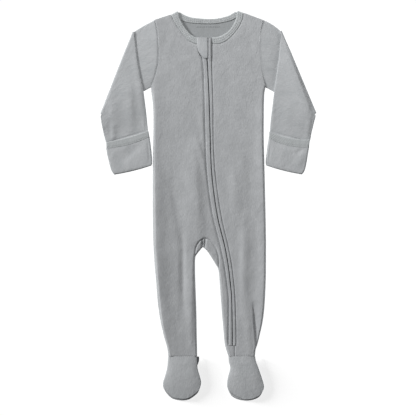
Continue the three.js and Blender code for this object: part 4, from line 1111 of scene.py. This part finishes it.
# %% Beads along a line
def beads_tree():
    """A tree that sets beads along lines."""
    tree = bpy.data.node_groups.new("beads_along_a_line", "GeometryNodeTree")
    face = tree.interface
    face.new_socket("Geometry", in_out="OUTPUT", socket_type="NodeSocketGeometry")
    face.new_socket("Geometry", in_out="INPUT", socket_type="NodeSocketGeometry")
    for name in ("Step", "Along", "Across", "Up"):
        face.new_socket(name, in_out="INPUT", socket_type="NodeSocketFloat")
    face.new_socket("Material", in_out="INPUT", socket_type="NodeSocketMaterial")
    given = add_node(tree, "NodeGroupInput").outputs
    line = add_node(tree, "GeometryNodeMeshToCurve", {"Mesh": given["Geometry"]}).outputs[0]
    even = {"Curve": line, "Length": given["Step"]}
    points = add_node(tree, "GeometryNodeCurveToPoints", even, mode="LENGTH").outputs
    bead = add_node(tree, "GeometryNodeMeshUVSphere", {"Segments": 6, "Rings": 4, "Radius": 0.5}).outputs[0]
    turned = add_node(tree, "FunctionNodeAlignRotationToVector", {"Vector": points["Tangent"]}, axis="X")
    size = add_node(tree, "ShaderNodeCombineXYZ", {0: given["Along"], 1: given["Across"], 2: given["Up"]})
    placed = add_node(
        tree, "GeometryNodeInstanceOnPoints",
        {"Points": points["Points"], "Instance": bead, "Rotation": turned.outputs[0], "Scale": size.outputs[0]},
    ).outputs[0]
    real = add_node(tree, "GeometryNodeRealizeInstances", {"Geometry": placed}).outputs[0]
    painted = add_node(tree, "GeometryNodeSetMaterial", {"Geometry": real, "Material": given["Material"]})
    add_node(tree, "NodeGroupOutput", {0: painted.outputs[0]})
    return tree


bead_tree = beads_tree()


def beads(name, lines, step, along, across, up, material):
    """Beads along lines of millimetre points, as one plain mesh."""
    points, edges = [], []
    for line in lines:
        edges += [(len(points) + i, len(points) + i + 1) for i in range(len(line) - 1)]
        points += [tuple(p) for p in np.asarray(line) * MM]
    mesh = bpy.data.meshes.new(name + "_line")
    mesh.from_pydata(points, edges, [])
    holder = bpy.data.objects.new(name + "_line", mesh)
    bpy.context.scene.collection.objects.link(holder)
    modifier = holder.modifiers.new("beads", "NODES")
    modifier.node_group = bead_tree
    sizes = {"Step": step, "Along": along, "Across": across, "Up": up}
    values = {name: size * MM for name, size in sizes.items()} | {"Material": material}
    for item in bead_tree.interface.items_tree:
        if item.in_out == "INPUT" and item.name in values:
            modifier[item.identifier] = values[item.name]
    shown = holder.evaluated_get(bpy.context.evaluated_depsgraph_get())
    made = bpy.data.meshes.new_from_object(shown)
    bpy.data.objects.remove(holder)
    made.name = name
    made.shade_smooth()
    piece = bpy.data.objects.new(name, made)
    bpy.context.scene.collection.objects.link(piece)
    print(f"{name}: {len(made.polygons)} faces")
    return piece


# %% Coil of the zip
def coil_line(side):
    """The line of one half of the coil, beside the middle of the slot."""
    sign = SIGN[side]
    y = np.linspace(244, ZIP_END + 2, 300)
    return np.column_stack([read(ZIP, "slot", y) + sign * 0.55, y, y * 0 + 3.0])


COIL = {"step": 1.5, "along": 0.9, "across": 1.7, "up": 1.0}
coils = {side: beads(f"zip_coil_{side}", [coil_line(side)], **COIL, material=coil) for side in SIGN}


# %% Stitches
def on_front(flat):
    """Flat places set on the front's outer side."""
    flat = np.asarray(flat, float)
    return np.column_stack([flat, front_height(flat[:, 0], flat[:, 1]) + 0.12])


STITCH = {"step": 3.0, "along": 2.4, "across": 0.55, "up": 0.45}


def binding_row(share):
    """A row of stitches along the binding, at a share of its width from its edge."""
    column = np.abs(across - share).argmin()
    return (strip + depth * shown_side[:, None])[2:-2, column] + [0, 0, 0.1]


binding_stitches = beads("neck_stitches", [binding_row(0.36), binding_row(0.68)], 3.0, 2.5, 0.9, 0.8, thread)
y = np.linspace(249, ZIP_END + 2, 400)
welt_stitches = {
    side: beads(
        f"zip_stitches_{side}",
        [np.column_stack([zip_edge(side, y, -0.9), y, y * 0 + WELT_TOP - 0.55])],
        **STITCH, material=dark_thread,
    )
    for side in SIGN
}

# %% [markdown]
# ## The slider and its pull
# The slider is cast zinc with grey enamel. It sits at the closed top of the zip, under the guard,
# so only its place is known. The part's own solids have the right shape, so they stay and get
# their material.

# %% Slider and pull
for name in ("zip_slider", "zip_pull"):
    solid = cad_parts[name]
    solid.data.materials.clear()
    solid.data.materials.append(enamelled_zinc)

# %% [markdown]
# ## The guard
# A soft doubled tab covers the slider, so that it can't touch the baby's chin. It is puffed over
# the slider and thin at its edge.

# %% Guard
GUARD = table("y left right", [
    (258.8, -17.9, -0.7), (249, -17.1, -0.6), (240, -16.2, -0.6),
    (233, -12.7, -0.9), (228.5, -8.4, -1.4), (226.2, -4.6, -2.2),
])
down = spread(40, 0.4)[:, None]
u = spread(22, 0.6)[None]
y = 258.8 + (226.2 - 258.8) * down
x = read(GUARD, "left", y) * (1 - u) + read(GUARD, "right", y) * u
puff = 0.55 * (1 - np.abs(2 * u - 1) ** 6) * (1 - down**5)
rim = rounded(np.minimum(np.minimum(u / 0.09, (1 - u) / 0.04), (1 - down) / 0.05))
height = 5.9 + 0.8 * rim + 1.3 * puff + 0.4 * u
outer = np.dstack([x, y + 0 * u, height])
inner = np.dstack([x, y + 0 * u, 5.7 + 1.1 * puff])
guard = wall("zip_guard_cloth", [(outer, inner, outer[..., :2])], painted_lighter_jersey)

# %% [markdown]
# ## The feet
# Each foot has an upper that is gathered at the toe, a flat sole that shows as a crescent past
# the toe seam, and a heel under the ankle, whose knit is painted dark as painted shade.

# %% Foot tables
FOOT = {
    "right": table("y outer inner", [
        (ANKLE - 0.3, -61.6, -17.2), (-240, -62.2, -16.9), (-251, -63.7, -16.2), (-263, -67, -12.8),
        (-271, -69.6, -11), (-277, -69.9, -11.6), (-282, -68.7, -13.2),
    ]),
    "left": table("y outer inner", [
        (ANKLE - 0.3, 72.2, 31.2), (-240, 73.6, 31.7), (-249, 77, 33.6), (-263, 81.9, 30.4),
        (-271, 84.4, 29), (-278, 85.9, 28.9), (-283, 85.2, 30.2),
    ]),
}
TOE = {
    "right": table("seam_x seam_y tip_x tip_y", [
        (-61, -288.8, -62.4, -291), (-53.4, -294.8, -54.3, -297.4), (-41, -297.2, -40.7, -300),
        (-32, -296.2, -30, -298.4), (-24, -291.8, -22, -293.6), (-17.4, -286.6, -16, -288),
    ]),
    "left": table("seam_x seam_y tip_x tip_y", [
        (78.8, -291.4, 79.6, -293.2), (71.2, -295.8, 71.5, -298.2), (63.3, -297.6, 63, -300),
        (55.2, -297.6, 55, -300), (45.7, -293.4, 44.8, -298), (37.2, -288.6, 36, -293),
    ]),
}
HEEL_END = -246.0


def toe_line(side, kind):
    """The toe's rounded line from the outer to the inner side."""
    rows = FOOT[side]
    ends = [(rows[name][-1], rows["y"][-1]) for name in ("outer", "inner")]
    return line_through(np.vstack([ends[0], pairs(TOE[side], kind), ends[1]]))


def foot_places(side, kind, top, rows, columns):
    """Flat places between the sides of a foot, drawn out to its toe line."""
    table_rows = FOOT[side]
    end = table_rows["y"][-1]
    v = spread(rows, 0.3)[:, None]
    u = columns[None]
    y = top + (end - top) * v
    x = read(table_rows, "outer", y) * (1 - u) + read(table_rows, "inner", y) * u
    chord = np.dstack([table_rows["outer"][-1] * (1 - u) + table_rows["inner"][-1] * u, end + 0 * u])
    pull = toe_line(side, kind)(columns)[None] - chord
    return np.dstack([x, y + 0 * u]) + pull * (v**1.5)[..., None], v, u


# %% Feet
def upper_piece(side):
    """The upper of one foot, crowned and gathered at the toe."""
    flat, v, u = foot_places(side, "seam", ANKLE - 0.05, 44, spread(48, 0.5))
    across = (1 - np.abs(2 * u - 1) ** 3.5) ** 0.9
    along = (0.58 + 0.42 * np.minimum(v / 0.5, 1)) * (1 - np.clip((v - 0.35) / 0.65, 0, 1) ** 2.2)
    wave = np.sin(u * 41 + 2 * np.sin(u * 9)) * 0.5 + 0.5
    gathers = 0.3 * wave * np.clip((v - 0.86) / 0.14, 0, 1) ** 1.2 * (np.sin(np.pi * u) ** 0.5)
    creases = 0.5 * np.exp(-(((v - 0.16 - 0.05 * u) / 0.05) ** 2)) * np.sin(np.pi * u)
    rim = rounded(np.minimum(u, 1 - u) / 0.03)
    groove = 0.06 * np.exp(-((v / 0.03) ** 2))
    height = 2.2 + 1.1 * rim + 3.1 * across * along + gathers + creases * 0.4 - groove
    outer = np.dstack([flat, height])
    return wall(f"foot_upper_{side}_cloth", [(outer, outer - normals(outer) * 0.9, flat)], painted_lighter_jersey)


def sole_piece(side):
    """The sole of one foot, rounded at its edge."""
    flat, _, _ = foot_places(side, "tip", HEEL_END - 0.3, 30, spread(48, 0.6))
    line = np.vstack([edge_line(lambda y: read(FOOT[side], "outer", y), HEEL_END, FOOT[side]["y"][-1], 12),
                      toe_line(side, "tip")(spread(30)),
                      edge_line(lambda y: read(FOOT[side], "inner", y), FOOT[side]["y"][-1], HEEL_END, 12)])
    edge = away(flat[..., 0], flat[..., 1], line)
    top = 2.1 - roll(edge, 1.6, 0.9, 2.1)
    low = 0.0 + roll(edge, 1.4, 0.0, 0.9)
    return wall(f"sole_{side}_cloth", [(np.dstack([flat, top]), np.dstack([flat, low]), flat)], jersey)


HEEL_INNER = {
    "right": table("y x", [
        (-228.6, -16.2), (-231.4, -14.6), (-236, -14), (-241, -14.8), (-244.8, -16.3), (-246, -16.4),
    ]),
    "left": table("y x", [(ANKLE - 0.3, 31.2), (-240, 31.7), (-246, 33.3)]),
}


def heel_piece(side):
    """The heel, gathered under the ankle. Its knit is painted dark, as painted shade."""
    rows = HEEL_INNER[side]
    y = np.linspace(ANKLE - 0.3, HEEL_END, 24)[:, None]
    u = spread(30, 0.6)[None]
    x = read(FOOT[side], "outer", y) * (1 - u) + read(rows, "x", y) * u
    flat = np.dstack([x, y + 0 * u])
    rim = rounded(np.minimum(u, 1 - u) / 0.04)
    outer = np.dstack([flat, 0.6 + 0.9 * rim + 0 * y])
    inner = np.dstack([flat, 0.6 - 0.6 * rim + 0 * y])
    return wall(f"heel_{side}_cloth", [(outer, inner, flat)], heel_painted_shade_jersey)


uppers = {side: upper_piece(side) for side in SIGN}
soles = {side: sole_piece(side) for side in SIGN}
heels = {side: heel_piece(side) for side in SIGN}

# %% [markdown]
# ## The shadow by the feet
# In the picture only the feet throw a soft shadow on the white table, to their lower right. A low
# lamp lights the table alone, and only the feet stand in its way.

# %% Lamp for the table
in_the_way = bpy.data.collections.new("feet_in_the_way")
for piece in (*uppers.values(), *soles.values()):
    in_the_way.objects.link(piece)
table_only = bpy.data.collections.new("table_alone")
table_only.objects.link(floor)
table_lamp = bpy.data.lights.new("table_lamp", "SUN")
table_lamp.energy = 5.0
table_lamp.angle = math.radians(14)
table_holder = hang("table_lamp", table_lamp, (-1.5, 0.5, 0.2))
table_holder.light_linking.receiver_collection = table_only
table_holder.light_linking.blocker_collection = in_the_way
print("lamps:", [lamp.name for lamp in bpy.data.lights])

# %% [markdown]
# ## Seams
# Light rows of stitches run beside the ankle seams, the cuff bands and the neck binding.

# %% Rows of stitches
def row_between(a, b):
    """Points on a straight stretch."""
    share = np.linspace(0, 1, 40)[:, None]
    return np.asarray(a) * (1 - share) + np.asarray(b) * share


ankle_stitches = {
    side: beads(f"ankle_stitches_{side}", [on_front(row_between(*ends))], **STITCH, material=thread)
    for side, ends in {"right": ((-60, -229.6), (-19, -229.8)), "left": ((33, -229.6), (70.5, -229.4))}.items()
}
inside_row = np.column_stack([row_between((-17.5, 275.2), (16.6, 275.4)), np.full(40, 1.1)])
inside_stitches = beads("neck_inside_stitches", [inside_row], 2.8, 2.0, 0.8, 0.7, dark_thread)
band_stitches = {
    side: beads(
        f"band_stitches_{side}",
        [np.column_stack([band_line(side, BAND_SEAM), band_height(BAND_ACROSS, BAND_SEAM) + 0.1])[2:-2]],
        **STITCH, material=thread,
    )
    for side in SIGN
}

# %% [markdown]
# ## The pieces on the body
# Each piece rides on the part's one body, and each cloth piece hides the plain solid that it
# stands for.

# %% What stands for what
def hand_over(piece, slot, *nodes):
    """The piece rides on the body and stands for its solids."""
    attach(piece, "root")
    if nodes:
        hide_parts(*nodes)


hand_over(front_right, "jersey", "front_right")
hand_over(front_left, "jersey", "front_left")
hand_over(gusset, "jersey", "crotch_gusset")
hand_over(back, "jersey", "back_body")
hand_over(binding, "rib", "neck_binding")
hand_over(guard, "jersey", "zip_guard")
for side in SIGN:
    hand_over(sleeves[side], "jersey", f"sleeve_{side}")
    hand_over(cuffs[side], "jersey", f"cuff_{side}")
    hand_over(bands[side], "rib", f"cuff_band_{side}")
    hand_over(welts[side], "jersey", f"zip_welt_{side}")
    hand_over(tapes[side], "zip_tape", f"zip_tape_{side}")
    hand_over(uppers[side], "jersey", f"foot_upper_{side}")
    hand_over(soles[side], "jersey", f"sole_{side}")
    hand_over(heels[side], "jersey", f"heel_{side}")
    hand_over(coils[side], "zip_tape")
    hand_over(welt_stitches[side], "jersey")
    hand_over(band_stitches[side], "rib")
    hand_over(ankle_stitches[side], "jersey")
hand_over(binding_stitches, "rib")
hand_over(inside_stitches, "jersey")

# %% An empty loop over the sides
for side in SIGN:
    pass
